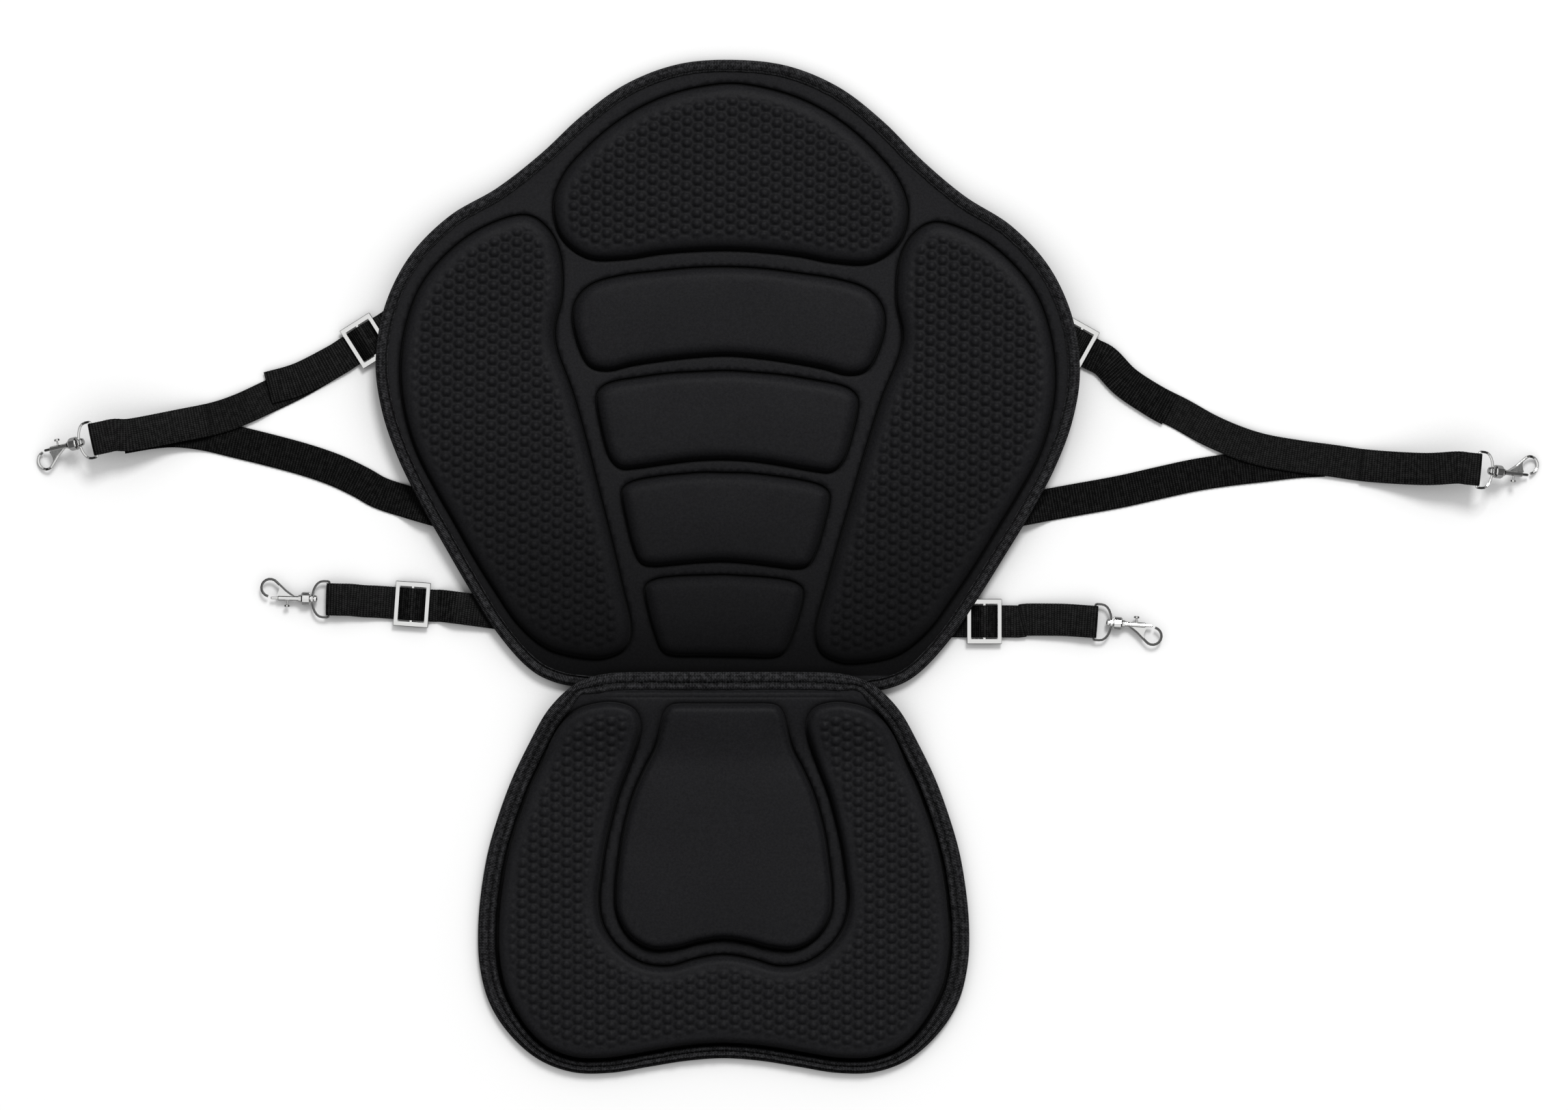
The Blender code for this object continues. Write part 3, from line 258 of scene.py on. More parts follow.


# %% [markdown]
# The cloth over the foam is a fine polyester knit. It is matte, with a short nap that catches
# light at a low angle, and its loops are about 0.6 mm wide. They are too fine to show from this
# far away, so a second, coarser mottle of 1.8 mm stands for the way the knit takes the light
# unevenly. Above the seat the backrest's cloth carries a painted shade: it is painted blacker
# and made more matte lower down, and the painted shade pales upwards. The seat lies below the
# start of that ramp and keeps one shade.

# %% Knit over the foam
KNIT_BLACK = "#1f1f21"
KNIT_DARK = "#121214"
KNIT_LOOP_MM = 0.6
KNIT_LOOP_DEPTH_MM = 0.12
KNIT_MOTTLE_MM = 1.8
KNIT_ROUGH = 0.6
PAINTED_SHADE_ROUGH = 1.0
PAINTED_SHADE_FROM_MM = 148.0
PAINTED_SHADE_TO_MM = 348.0
# Painted shade up the backrest: the knit's colour is multiplied by this ramp, darkest at the
# hinge.
PAINTED_SHADE_RAMP = [(0.0, 1.0), (0.005, 0.22), (0.12, 0.38), (0.24, 0.58), (0.6, 0.83), (1.0, 1.0)]

knit, tree, shader = new_material("black polyester knit pressed over foam", KNIT_BLACK,
                                  KNIT_ROUGH)
spot = add_node(tree, "ShaderNodeTexCoord").outputs["Object"]
mottle = cloudy(tree, spot, KNIT_MOTTLE_MM, detail=6.0, roughness=0.65)
colour = ramp(tree, mottle, [(0.3, KNIT_DARK), (0.7, KNIT_BLACK)])
parts = add_node(tree, "ShaderNodeSeparateXYZ", {0: spot})
up_the_back = ranged(tree, parts.outputs["Y"], from_min=PAINTED_SHADE_FROM_MM * MM,
                     from_max=PAINTED_SHADE_TO_MM * MM)
painted_shade = ramp(tree, up_the_back, PAINTED_SHADE_RAMP)
# The base colour carries painted crease shade and the painted shade that darkens towards the
# hinge.
tree.links.new(mixed(tree, 1.0, painted_crease_shade(tree, colour), painted_shade, "MULTIPLY"),
               shader.inputs["Base Color"])
tree.links.new(ranged(tree, painted_shade, to_min=PAINTED_SHADE_ROUGH, to_max=KNIT_ROUGH),
               shader.inputs["Roughness"])
loops = add_node(tree, "ShaderNodeTexVoronoi",
                 {"Vector": spot, "Scale": 1 / (KNIT_LOOP_MM * MM), "Randomness": 0.6})
bump(tree, shader, loops.outputs["Distance"], KNIT_LOOP_DEPTH_MM, strength=0.6)
shader.inputs["Sheen Weight"].default_value = 0.01
shader.inputs["Sheen Roughness"].default_value = 0.5
shader.inputs["Specular IOR Level"].default_value = 0.075

# %% [markdown]
# The edge tape is ribbed nylon. Its ribs run across the tape, and it is a shade lighter than
# the pads because its fuzzy yarns stand up round the fold. Webbing is woven the same way with
# wider rows, each broken into yarns. The ribs and rows follow a distance that each piece stores
# in its own map, so they turn every corner with it.

# %% Edge tape, webbing and backing cloth
# The groove colours are painted shade: each weave's colour darkens in the dips between its ribs
# and yarns.
TAPE_BLACK = "#3e3e40"
TAPE_GROOVE_SHADE = "#0e0e0f"
TAPE_RIB_MM = 1.2
TAPE_YARN_MM = 3.0
WEBBING_BLACK = "#222222"
WEBBING_GROOVE_SHADE = "#010101"
WEBBING_ROW_MM = 2.1
WEBBING_YARN_MM = 1.5
WOVEN_RANGE = 1.3  # the rows' and yarns' sum stays mostly inside plus and minus this
FUZZ_MM = 1.3
FUZZ_SHIFT = 0.35  # how far the fuzz moves a row, in radians
STAGGER = 1.2  # how far every second row's yarns are shifted, in radians
YARN_SHARE = 0.45  # how much a yarn shows beside its row
WORN_MM = 3.5
BACKING_BLACK = "#161617"
BACKING_DARK = "#101011"
BACKING_WEAVE_MM = 0.8


def ribbed(name, light, dark, row_mm, yarn_mm, depth_mm, roughness, patchiness):
    """Woven cloth with rows across it, each row broken into yarns, painted darker in the dips
    between them as painted shade.
    """
    mat, tree, shader = new_material(name, light, roughness)
    spot = add_node(tree, "ShaderNodeUVMap", uv_map="along_across").outputs[0]
    parts = add_node(tree, "ShaderNodeSeparateXYZ", {0: spot})
    shift = sums(tree, "MULTIPLY", cloudy(tree, spot, FUZZ_MM, detail=3.0), FUZZ_SHIFT)
    turn = sums(tree, "MULTIPLY_ADD", parts.outputs["X"], 2 * math.pi / (row_mm * MM), shift)
    rows = sums(tree, "COSINE", turn)
    flip = sums(tree, "COSINE", sums(tree, "MULTIPLY", turn, 0.5))
    stagger = sums(tree, "MULTIPLY", flip, STAGGER)
    weft = sums(tree, "MULTIPLY_ADD", parts.outputs["Y"], 2 * math.pi / (yarn_mm * MM), stagger)
    woven = sums(tree, "MULTIPLY_ADD", sums(tree, "COSINE", weft), YARN_SHARE, rows)
    level = ranged(tree, woven, from_min=-WOVEN_RANGE, from_max=WOVEN_RANGE)
    wear_and_crease_shade = sums(tree, "SUBTRACT", cloudy(tree, spot, WORN_MM, detail=3.0), 0.5)
    patchy = sums(tree, "MULTIPLY_ADD", wear_and_crease_shade, patchiness, level)
    # The colour runs from the painted groove shade to the lighter tops, with painted crease
    # shade over it.
    tree.links.new(painted_crease_shade(tree, ramp(tree, patchy, [(0.3, dark), (0.95, light)])),
                   shader.inputs["Base Color"])
    bump(tree, shader, level, depth_mm, strength=1.0)
    shader.inputs["Sheen Weight"].default_value = 0.01
    shader.inputs["Specular IOR Level"].default_value = 0.06
    return mat


tape = ribbed("black ribbed nylon tape", TAPE_BLACK, TAPE_GROOVE_SHADE, TAPE_RIB_MM, TAPE_YARN_MM,
              depth_mm=0.25, roughness=0.75, patchiness=2.2)
webbing = ribbed("black woven polypropylene webbing", WEBBING_BLACK, WEBBING_GROOVE_SHADE,
                 WEBBING_ROW_MM, WEBBING_YARN_MM, depth_mm=0.45, roughness=0.6, patchiness=2.0)

backing, tree, shader = new_material("black woven polyester backing", BACKING_BLACK, 0.9)
spot = add_node(tree, "ShaderNodeTexCoord").outputs["Object"]
weave = cloudy(tree, spot, BACKING_WEAVE_MM, detail=4.0)
tree.links.new(ramp(tree, weave, [(0.35, BACKING_DARK), (0.65, BACKING_BLACK)]),
               shader.inputs["Base Color"])
bump(tree, shader, weave, depth_mm=0.2, strength=0.5)

# %% [markdown]
# The hooks, eyes and sliders are zinc and steel with a bright nickel plate. Nickel is a warm
# grey metal that mirrors the white room. Fine noise in the roughness breaks the mirror a
# little, as plating over a casting does.

# %% Nickel plate and spring wire
NICKEL = "#dcdcdb"
NICKEL_GRAIN_MM = 1.5
SPRING_GREY = "#b4b4b4"


def plated(name, colour, smooth, rough):
    """A metal whose roughness wanders between two values."""
    mat, tree, shader = new_material(name, colour, smooth, metallic=1.0)
    spot = add_node(tree, "ShaderNodeTexCoord").outputs["Object"]
    grain = cloudy(tree, spot, NICKEL_GRAIN_MM, detail=3.0)
    tree.links.new(ranged(tree, grain, to_min=smooth, to_max=rough),
                   shader.inputs["Roughness"])
    bump(tree, shader, grain, depth_mm=0.08, strength=0.25)
    return mat


nickel = plated("bright nickel plate on zinc", NICKEL, smooth=0.05, rough=0.15)
spring_wire = plated("drawn spring steel", SPRING_GREY, smooth=0.25, rough=0.4)

for endings, metal in ((("_slider", "_swivel_eye", "_snap_hook", "_plunger"), nickel),
                       (("_spring",), spring_wire)):
    for name, node in nodes.items():
        if name.endswith(endings):
            node.data.materials.clear()
            node.data.materials.append(metal)

# %% [markdown]
# Smooth curves come from a few measured points. The pads' outlines are the same as in the CAD
# model, in millimetres, as right halves that are mirrored. Distances to an outline shape
# everything that is pressed into a pad, so one function works them out for all points of a mesh
# at once.

# %% Outline helpers


def spline(points, closed=True, per_span=12):
    """A smooth curve through the points."""
    p = np.array(points, float)
    if closed:
        q = np.vstack([p[-1], p, p[0], p[1]])
    else:
        q = np.vstack([2 * p[0] - p[1], p, 2 * p[-1] - p[-2]])
    t = np.linspace(0, 1, per_span, endpoint=False)[:, None]
    spans = []
    for p0, p1, p2, p3 in zip(q, q[1:], q[2:], q[3:]):
        spans.append(0.5 * (2 * p1 + (p2 - p0) * t + (2 * p0 - 5 * p1 + 4 * p2 - p3) * t ** 2
                            + (3 * p1 - p0 - 3 * p2 + p3) * t ** 3))
    if not closed:
        spans.append(p[-1:])
    return np.vstack(spans)


def lengths(points):
    """Distance along a line of points, from its start to each of them."""
    return np.r_[0, np.cumsum(np.linalg.norm(np.diff(points, axis=0), axis=1))]


def resample(points, step, closed=True):
    """The same line with its points evenly spaced, about a step apart."""
    p = np.vstack([points, points[:1]]) if closed else np.array(points)
    along = lengths(p)
    count = max(2, round(along[-1] / step))
    t = np.linspace(0, along[-1], count + (0 if closed else 1), endpoint=not closed)
    return np.stack([np.interp(t, along, p[:, k]) for k in range(p.shape[1])], 1)


def mirrored(half):
    """The whole of an outline from its right half."""
    return list(half) + [(-x, y) for x, y in reversed(half) if x > 0]


def outline_of(points, step=2.0):
    """A closed clockwise outline through the points, evenly sampled."""
    p = np.array(points, float)
    x, y = p.T
    if (x * np.roll(y, -1) - y * np.roll(x, -1)).sum() > 0:
        p = p[::-1]
    return resample(spline(p), step)


def inward(outline):
    """Unit vectors into a clockwise outline at each of its points."""
    run = np.roll(outline, -1, 0) - np.roll(outline, 1, 0)
    run /= np.linalg.norm(run, axis=1)[:, None]
    return np.stack([run[:, 1], -run[:, 0]], 1)


FAR = 25.0
nearest_of = {}


def edge_distance(outline, points):
    """Distance of each point from a clockwise outline, positive inside it.

    A search tree finds the nearest point of the outline, and the two lines that meet there
    give the exact distance. Points well outside the outline's box count as FAR away.
    """
    key = outline.tobytes()
    if key not in nearest_of:
        tree = KDTree(len(outline))
        for i, (x, y) in enumerate(outline):
            tree.insert((x, y, 0.0), i)
        tree.balance()
        nearest_of[key] = tree
    tree = nearest_of[key]
    found = np.full(len(points), -FAR)
    close = ((points > outline.min(0) - FAR) & (points < outline.max(0) + FAR)).all(1)
    p = points[close]
    near = np.array([tree.find((x, y, 0.0))[1] for x, y in p.tolist()], int)
    if not len(near):
        return found
    into = inward(outline)
    best = np.full(len(p), 1e9)
    for first in (near - 1, near):
        a, b = outline[first], outline[(first + 1) % len(outline)]
        run = b - a
        t = np.clip(((p - a) * run).sum(1) / (run ** 2).sum(1), 0, 1)
        best = np.minimum(best, np.linalg.norm(p - a - t[:, None] * run, axis=1))
    side = ((p - outline[near]) * into[near]).sum(1)
    found[close] = np.where(side > 0, best, -best)
    return found


def ease(t):
    """A soft step from 0 to 1."""
    t = np.clip(t, 0, 1)
    return t * t * (3 - 2 * t)


def add_piece(name, points, faces, material):
    """A smooth mesh piece from points in millimetres."""
    mesh = bpy.data.meshes.new(name)
    mesh.from_pydata((np.array(points, float) * MM).tolist(), [], faces)
    mesh.polygons.foreach_set("use_smooth", [True] * len(mesh.polygons))
    mesh.materials.append(material)
    piece = bpy.data.objects.new(name, mesh)
    bpy.context.scene.collection.objects.link(piece)
    return piece


# %% [markdown]
# The layers of a pad lie at the heights that the CAD model gives them: the cloth underneath,
# the foam's flat flange, and the raised panels on it. The backrest's wings curl up a little,
# and the rear edge of the seat climbs over the lower edge of the backrest, to which it is sewn.

# %% Heights and bends
GAP = 0.3
BACKING_THICK = 1.0
SEAT_TAPE = 1.0
SEAT_FLANGE = 4.0
SEAT_RISE = 10.0
BACK_TAPE = 0.8
BACK_FLANGE = 2.5
BACK_RISE = 8.0
EDGE_RADIUS = 6.0
SEAT_LIP_SIDE = 12.8
SEAT_LIP_FRONT = 9.0
BACK_LIP = 9.2
SEAT_GROOVE = 2.8
WEBBING_WIDTH = 24.5
WEBBING_THICK = 1.5
HINGE = (-0.8, 151.8)
BACK_YAW = math.radians(-1.0)
BACK_BASE = WEBBING_THICK + GAP
BACK_HEIGHT = 2 * BACK_TAPE + 3 * GAP + BACKING_THICK + BACK_FLANGE
SEAT_REAR_LIFT = BACK_BASE + BACK_HEIGHT + GAP
SEAT_HEIGHT = 2 * SEAT_TAPE + 4 * GAP + BACKING_THICK + SEAT_FLANGE
SEAT_FLANGE_TOP = 2 * GAP + SEAT_TAPE + BACKING_THICK + SEAT_FLANGE
BACK_FLANGE_TOP = 2 * GAP + BACK_TAPE + BACKING_THICK + BACK_FLANGE
WING_FROM = 70.0
WING_REACH = 195.0
WING_LIFT = 13.0
REAR_CLIMB_FROM = 80.0
REAR_CLIMB_LENGTH = 56.0


def wing_lift(x):
    """How far the wings curl up, at a distance across from the middle."""
    t = np.clip((np.abs(x) - WING_FROM) / WING_REACH, 0, 1.2)
    return WING_LIFT * t * t


def seat_to_row(points):
    """Bend a seat piece's points, given in the seat's own flat frame."""
    p = np.array(points, float)
    climb = ease((p[:, 1] - REAR_CLIMB_FROM) / REAR_CLIMB_LENGTH)
    p[:, 2] += (SEAT_REAR_LIFT + wing_lift(p[:, 0])) * climb
    return p


def back_to_row(points):
    """Bend a backrest piece's points and place them on the hinge line."""
    p = np.array(points, float)
    z = p[:, 2] + BACK_BASE + wing_lift(p[:, 0])
    c, s = math.cos(BACK_YAW), math.sin(BACK_YAW)
    x = HINGE[0] + c * p[:, 0] - s * p[:, 1]
    y = HINGE[1] + s * p[:, 0] + c * p[:, 1]
    return np.stack([x, y, z], 1)


# %% [markdown]
# The outlines of the seat, in millimetres from the middle of its underside.

# %% Outlines of the seat
SEAT_HALF = [
    (0, 151.5), (57.5, 151.5), (86, 150.5), (103, 146.5), (117, 139), (133.5, 121.5),
    (147.5, 96.5), (160, 70.5), (170, 43.5), (178, 16), (183, -12.5), (185.5, -41),
    (184.5, -69.5), (177.5, -97.5), (162.5, -121.5), (140.5, -141), (114, -151),
    (85.5, -151.5), (57, -147), (28.5, -142.5), (0, -140.5),
]
SEAT_CENTRE_HALF = [
    (0, 127), (18.5, 127), (37.5, 126.5), (44, 121), (46.5, 112.5), (51, 94.5), (59.5, 77.5),
    (67, 60.5), (72.5, 42.5), (76.5, 24.5), (79, 6), (81, -12.5), (80, -31), (71, -47.5),
    (55, -57), (36.5, -56.5), (18.5, -52), (0, -49.5),
]
SEAT_U_INNER_HALF = [
    (82, 128), (68.5, 123.5), (63, 112), (65.5, 98.5), (72.5, 79), (80, 59.5), (85.5, 39.5),
    (90, 19.5), (93, -1), (95, -21.5), (91, -41.5), (78, -59), (60.5, -69.5), (40.5, -71.5),
    (20.5, -66), (0, -63),
]
SEAT_ARM_TOP = [(130, 100.5), (121.5, 113.5), (110.5, 122.5), (97, 127)]
ARM_START_Y = 88.0


def seat_lip(points):
    """Width of the seat's tape: wide at the sides and rear, narrow at the front."""
    climb = ease((points[:, 1] + 150) / 50)
    return SEAT_LIP_FRONT + (SEAT_LIP_SIDE - SEAT_LIP_FRONT) * climb


def seat_u_outline():
    """The horseshoe panel: it follows the tape outside and the centre panel inside."""
    edge = outline_of(mirrored(SEAT_HALF), 14.0)
    edge = edge + inward(edge) * (seat_lip(edge) + SEAT_GROOVE)[:, None]
    right = sorted([tuple(p) for p in edge if p[0] >= 0 and p[1] < ARM_START_Y],
                   key=lambda p: math.atan2(p[0], -p[1] - 20))
    return outline_of(mirrored(right + SEAT_ARM_TOP + SEAT_U_INNER_HALF))


seat_edge = outline_of(mirrored(SEAT_HALF))
seat_u = seat_u_outline()
seat_centre = outline_of(mirrored(SEAT_CENTRE_HALF))
print("seat", np.ptp(seat_edge, axis=0).round(), "mm")

# %% [markdown]
# The outlines of the backrest start from the middle of the hinge line, and the whole backrest
# lies turned by one degree.

# %% Outlines of the backrest


def back_lip(points):
    """Width of the backrest's tape, which is the same all round."""
    return np.full(len(points), BACK_LIP)


BACK_HALF = [
    (0, 462), (41.5, 458), (80.5, 442.5), (114, 417.5), (144, 388.5), (176.5, 362),
    (212, 340), (241, 309.5), (259, 272), (265.5, 231), (260.5, 193.5), (248, 158),
    (231, 124.5), (212, 92), (192.5, 59.5), (172, 28), (149, 2), (128, -10), (100, -14.5),
    (60, -15), (0, -15),
]
BACK_TOP_HALF = [
    (0, 443), (24.5, 440), (48, 433.5), (70.5, 423), (91, 409), (109, 392.5), (125, 373.5),
    (133, 350.5), (127, 326), (106.5, 311), (78.5, 311), (52.5, 315.5), (26, 318), (0, 319),
]
BACK_SIDE = [
    (157, 341), (187, 330.5), (212.5, 311), (232, 285.5), (242.5, 255), (246, 223),
    (242.5, 192.5), (233.5, 163.5), (219.5, 136.5), (204, 110), (188.5, 83.5), (172, 58),
    (154, 33), (131, 15), (101, 8.5), (84, 10.5), (73, 18), (70.5, 34), (77.5, 62.5),
    (87, 99.5), (97, 136), (107, 172.5), (118, 209), (130, 240), (132, 258), (127, 283),
    (129, 312), (139, 332),
]
BACK_PANELS = [
    [(0, 304.5), (26.5, 303.5), (53.5, 300.5), (79.5, 297), (102, 290.5), (114, 279),
     (117, 263), (112, 243), (104, 229.5), (90, 226.5), (72, 231), (48, 235), (24, 238),
     (0, 239.5)],
    [(0, 226), (21.5, 225), (42.5, 223.5), (63.5, 220.5), (85.5, 216.5), (95.5, 211),
     (98, 202), (94, 181), (88, 161.5), (79.5, 153), (66.5, 153.5), (44.5, 157),
     (22.5, 160), (0, 161)],
    [(0, 149), (17, 149), (33.5, 147.5), (50.5, 145.5), (68, 142), (76.5, 137), (77.5, 129),
     (74, 112.5), (69, 94), (63, 82), (53, 79.5), (38, 81), (19, 83), (0, 84)],
    [(0, 72), (13, 71.5), (26, 71), (39, 70), (51, 68), (58, 64), (59, 57), (56, 43),
     (51.5, 28.5), (46, 16), (37, 12), (15.5, 12), (0, 12)],
]

back_edge = outline_of(mirrored(BACK_HALF))
back_bumpy = [outline_of(mirrored(BACK_TOP_HALF)), outline_of(BACK_SIDE),
              outline_of([(-x, y) for x, y in BACK_SIDE])]
back_plain = [outline_of(mirrored(half)) for half in BACK_PANELS]
print("backrest", np.ptp(back_edge, axis=0).round(), "mm")

# %% [markdown]
# The round bumps stand in columns, every second column shifted by half a step, like the holes
# of a sieve. A mesh for them could be a plain square grid, but then every bump would be cut
# differently. Here the grid is a fine copy of the bumps' own lattice, so that each bump gets
# the same points, and rings of points follow each panel's edge. A Delaunay triangulation joins
# them all.

# %% Bumps and fine skins
COLUMN_STEP = 8.45
BACK_BUMP_STEP = 8.12
SEAT_BUMP_STEP = 7.63
BUMP_RADIUS = 3.8
BUMP_HEIGHT = 2.3
SEAT_BUMP_HEIGHT = 1.9
FINE_SPLIT = 7
PLAIN_SPLIT = 2.6
CREASE_DEPTH = 2.2
CREASE_WIDTH = 0.75
FINE_FROM = 6.8  # fine points start this far inside a bumpy panel
SPARSE_CLEAR = 2.8  # sparse points keep this far off every panel
PLAIN_FROM = 8.6  # and start again this far inside a plain one
WAVE_MM = 45.0
WAVE_HEIGHT = 0.8


def bump_relief(points, row_step):
    """Height of the nearest round bump under each point, from 0 to 1."""
    x, y = points[:, 0] / COLUMN_STEP, points[:, 1] / row_step
    nearest = np.full(len(points), 9.0)
    for column in (np.floor(x), np.ceil(x)):
        shift = 0.5 * (column % 2)
        row = np.round(y - shift) + shift
        gap = np.hypot((x - column) * COLUMN_STEP, (y - row) * row_step)
        nearest = np.minimum(nearest, gap)
    t = np.clip(nearest / BUMP_RADIUS, 0, 1)
    return (1 - t ** 2) ** 0.9


def lattice_points(outline, row_step, split):
    """A fine copy of the bumps' lattice over the box round an outline."""
    dx, dy = COLUMN_STEP / split, row_step / split
    low, high = outline.min(0), outline.max(0)
    columns = np.arange(math.floor(low[0] / dx), math.ceil(high[0] / dx) + 1)
    rows = np.arange(math.floor(low[1] / dy) - 1, math.ceil(high[1] / dy) + 1)
    i, j = np.meshgrid(columns, rows)
    return np.stack([i * dx, (j + 0.5 * (i % 2)) * dy], -1).reshape(-1, 2)


def rings_inside(outline, distances):
    """Rings of points at set distances inside an outline, without crowded ones."""
    found = []
    for d in distances:
        ring = outline + inward(outline) * d
        clear = edge_distance(outline, ring) > d - 0.12
        found.append(ring[clear])
    return np.vstack(found)


def panel_height(distance, rise, radius=EDGE_RADIUS, fullness=2.3, crease=CREASE_DEPTH):
    """Height of a pressed panel at a distance in from its foot, with the crease there."""
    t = np.clip(distance / radius, 0, 1)
    wall = (1 - (1 - t) ** fullness) ** (1 / fullness)
    groove = np.exp(-((distance + CREASE_WIDTH) / CREASE_WIDTH) ** 2)
    return np.where(distance > 0, rise * wall, 0.0) - crease * groove


def triangulated(rim, loose):
    """Triangles through a closed rim and loose points inside it; the rim comes first."""
    flat = [Vector(p) for p in rim] + [Vector(p) for p in loose]
    n = len(rim)
    out = delaunay_2d_cdt(flat, [(i, (i + 1) % n) for i in range(n)], [], 1, 1e-5)
    return np.array([tuple(v) for v in out[0]]), [tuple(f) for f in out[2]]


def closed_shell(name, rim, loose, height, level, place, material):
    """A closed piece: a skin with a height of its own, a flat one, and the rim's wall."""
    skin, skin_faces = triangulated(rim, loose)
    flat, flat_faces = triangulated(rim, coarse_points(rim))
    n, k = len(skin), len(rim)
    points = np.vstack([np.c_[skin, height(skin)], np.c_[flat, np.full(len(flat), level)]])
    faces = skin_faces + [tuple(n + i for i in f[::-1]) for f in flat_faces]
    faces += [(i, (i + 1) % k, n + (i + 1) % k, n + i) for i in range(k)]
    piece = add_piece(name, place(points), faces, material)
    fix_normals(piece)
    print(name, len(faces), "faces")
    return piece


def coarse_points(rim, step=16.0):
    """Square grid points inside a rim, for flat skins."""
    low, high = rim.min(0), rim.max(0)
    xs, ys = (np.arange(math.ceil(a / step), b / step) * step for a, b in zip(low, high))
    cells = np.array([(x, y) for x in xs for y in ys])
    return cells[edge_distance(rim, cells) > step * 0.5]


def fix_normals(piece):
    bm = bmesh.new()
    bm.from_mesh(piece.data)
    bmesh.ops.recalc_face_normals(bm, faces=bm.faces)
    bm.to_mesh(piece.data)
    bm.free()


# %% [markdown]
# The knit is stretched over each foam panel, and the hot mould pins it down in the channels.
# What the foam then does is what a cushion does: it pushes the cloth up into a crown, most in
# the middle of a wide panel and least in a narrow one. A formula could draw one crown, but it
# would be the same for every outline. A cloth simulation gives each panel the crown of its own
# shape. A coarse cover is pinned at every foot and blown up from below, and the fine skins
# later read their height from it.

# %% Crowns by cloth simulation
COVER_STEP = 6.0
COVER_PRESSURE = 4.0
COVER_FRAMES = 20
COVER_HELD = 4.0
COVER_CAP = 2.6


def crown_of(panels, name):
    """A function that gives the height of the simulated crowns over the panels."""
    low = np.min([p.min(0) for p in panels], 0)
    high = np.max([p.max(0) for p in panels], 0)
    xs, ys = (np.arange(a, b + COVER_STEP, COVER_STEP) for a, b in zip(low, high))
    flat = np.array([(x, y) for y in ys for x in xs])
    n, m = len(xs), len(ys)
    faces = [(j * n + i, j * n + i + 1, (j + 1) * n + i + 1, (j + 1) * n + i)
             for j in range(m - 1) for i in range(n - 1)]
    depth = np.max([edge_distance(p, flat) for p in panels], 0)
    cover = add_piece(name, np.c_[flat, np.zeros(len(flat))], faces, knit)
    held = cover.vertex_groups.new(name="held")
    held.add(np.flatnonzero(depth < COVER_HELD).tolist(), 1.0, "REPLACE")
    cloth = cover.modifiers.new("cloth", "CLOTH")
    cloth.settings.vertex_group_mass = "held"
    cloth.settings.mass = 0.1
    cloth.settings.quality = 5
    cloth.settings.tension_stiffness = 10.0
    cloth.settings.compression_stiffness = 10.0
    cloth.settings.bending_stiffness = 0.5
    cloth.settings.use_pressure = True
    cloth.settings.uniform_pressure_force = COVER_PRESSURE
    cloth.settings.effector_weights.gravity = 0.0
    for frame_number in range(1, COVER_FRAMES + 1):
        bpy.context.scene.frame_set(frame_number)
    shape = cover.evaluated_get(bpy.context.evaluated_depsgraph_get()).to_mesh()
    z = np.array([v.co.z for v in shape.vertices]).reshape(m, n) / MM
    bpy.data.objects.remove(cover, do_unlink=True)
    bpy.context.scene.frame_set(1)
    z = COVER_CAP * np.tanh(np.maximum(z, 0) / COVER_CAP)
    print(name, "crown up to", round(float(z.max()), 2), "mm")

    def height(points):
        u = np.clip((points[:, 0] - xs[0]) / COVER_STEP, 0, n - 1.001)
        v = np.clip((points[:, 1] - ys[0]) / COVER_STEP, 0, m - 1.001)
        i, j = u.astype(int), v.astype(int)
        u, v = u - i, v - j
        return ((z[j, i] * (1 - u) + z[j, i + 1] * u) * (1 - v)
                + (z[j + 1, i] * (1 - u) + z[j + 1, i + 1] * u) * v)

    return height


back_crown = crown_of(back_bumpy + back_plain, "backrest_cover")
seat_crown = crown_of([seat_u, seat_centre], "seat_cover")

# %% [markdown]
# The backrest's pad has three bumpy panels and four plain ones. Bumps fade out before they
# reach a panel's edge. The plain parts need fewer points.

# %% Backrest pad
BACK_EDGE = (8.5, 2.0)  # radius and fullness of the backrest panels' rounded edge
BUMP_MARGIN = 6.5
BUMP_FADE = 7.0
RING_DISTANCES = (-1.9, -1.3, -0.9, -0.5, -0.2, 0.0, 0.25, 0.7, 1.3, 2.1, 3.2, 4.5, 6.0,
                  7.4)


def bump_share(distance):
    """How much of a bump shows at a distance inside its panel."""
    return ease((distance - BUMP_MARGIN) / BUMP_FADE)


def soft_waves(points, edge):
    """A slow, uneven swell, as no foam pad is quite flat. It dies out towards the edge."""
    waves = [noise.noise(Vector((x / WAVE_MM, y / WAVE_MM, 0.7))) for x, y in points]
    return np.array(waves) * WAVE_HEIGHT * ease(edge_distance(edge, points) / 30.0)


def pad_points(edge, bumpy, plain, row_step, margin):
    """Fine lattice points where there are bumps, sparser ones elsewhere, and edge rings."""
    fine = lattice_points(edge, row_step, FINE_SPLIT)
    near = np.zeros(len(fine), bool)
    for panel in bumpy:
        near |= edge_distance(panel, fine) > FINE_FROM
    sparse = lattice_points(edge, row_step, PLAIN_SPLIT)
    keep = edge_distance(edge, sparse) > margin
    for panel in bumpy:
        keep &= edge_distance(panel, sparse) < -SPARSE_CLEAR
    for panel in plain:
        d = edge_distance(panel, sparse)
        keep &= (d < -SPARSE_CLEAR) | (d > PLAIN_FROM)
    rings = [rings_inside(panel, RING_DISTANCES) for panel in bumpy + plain]
    return np.vstack([fine[near], sparse[keep]] + rings)


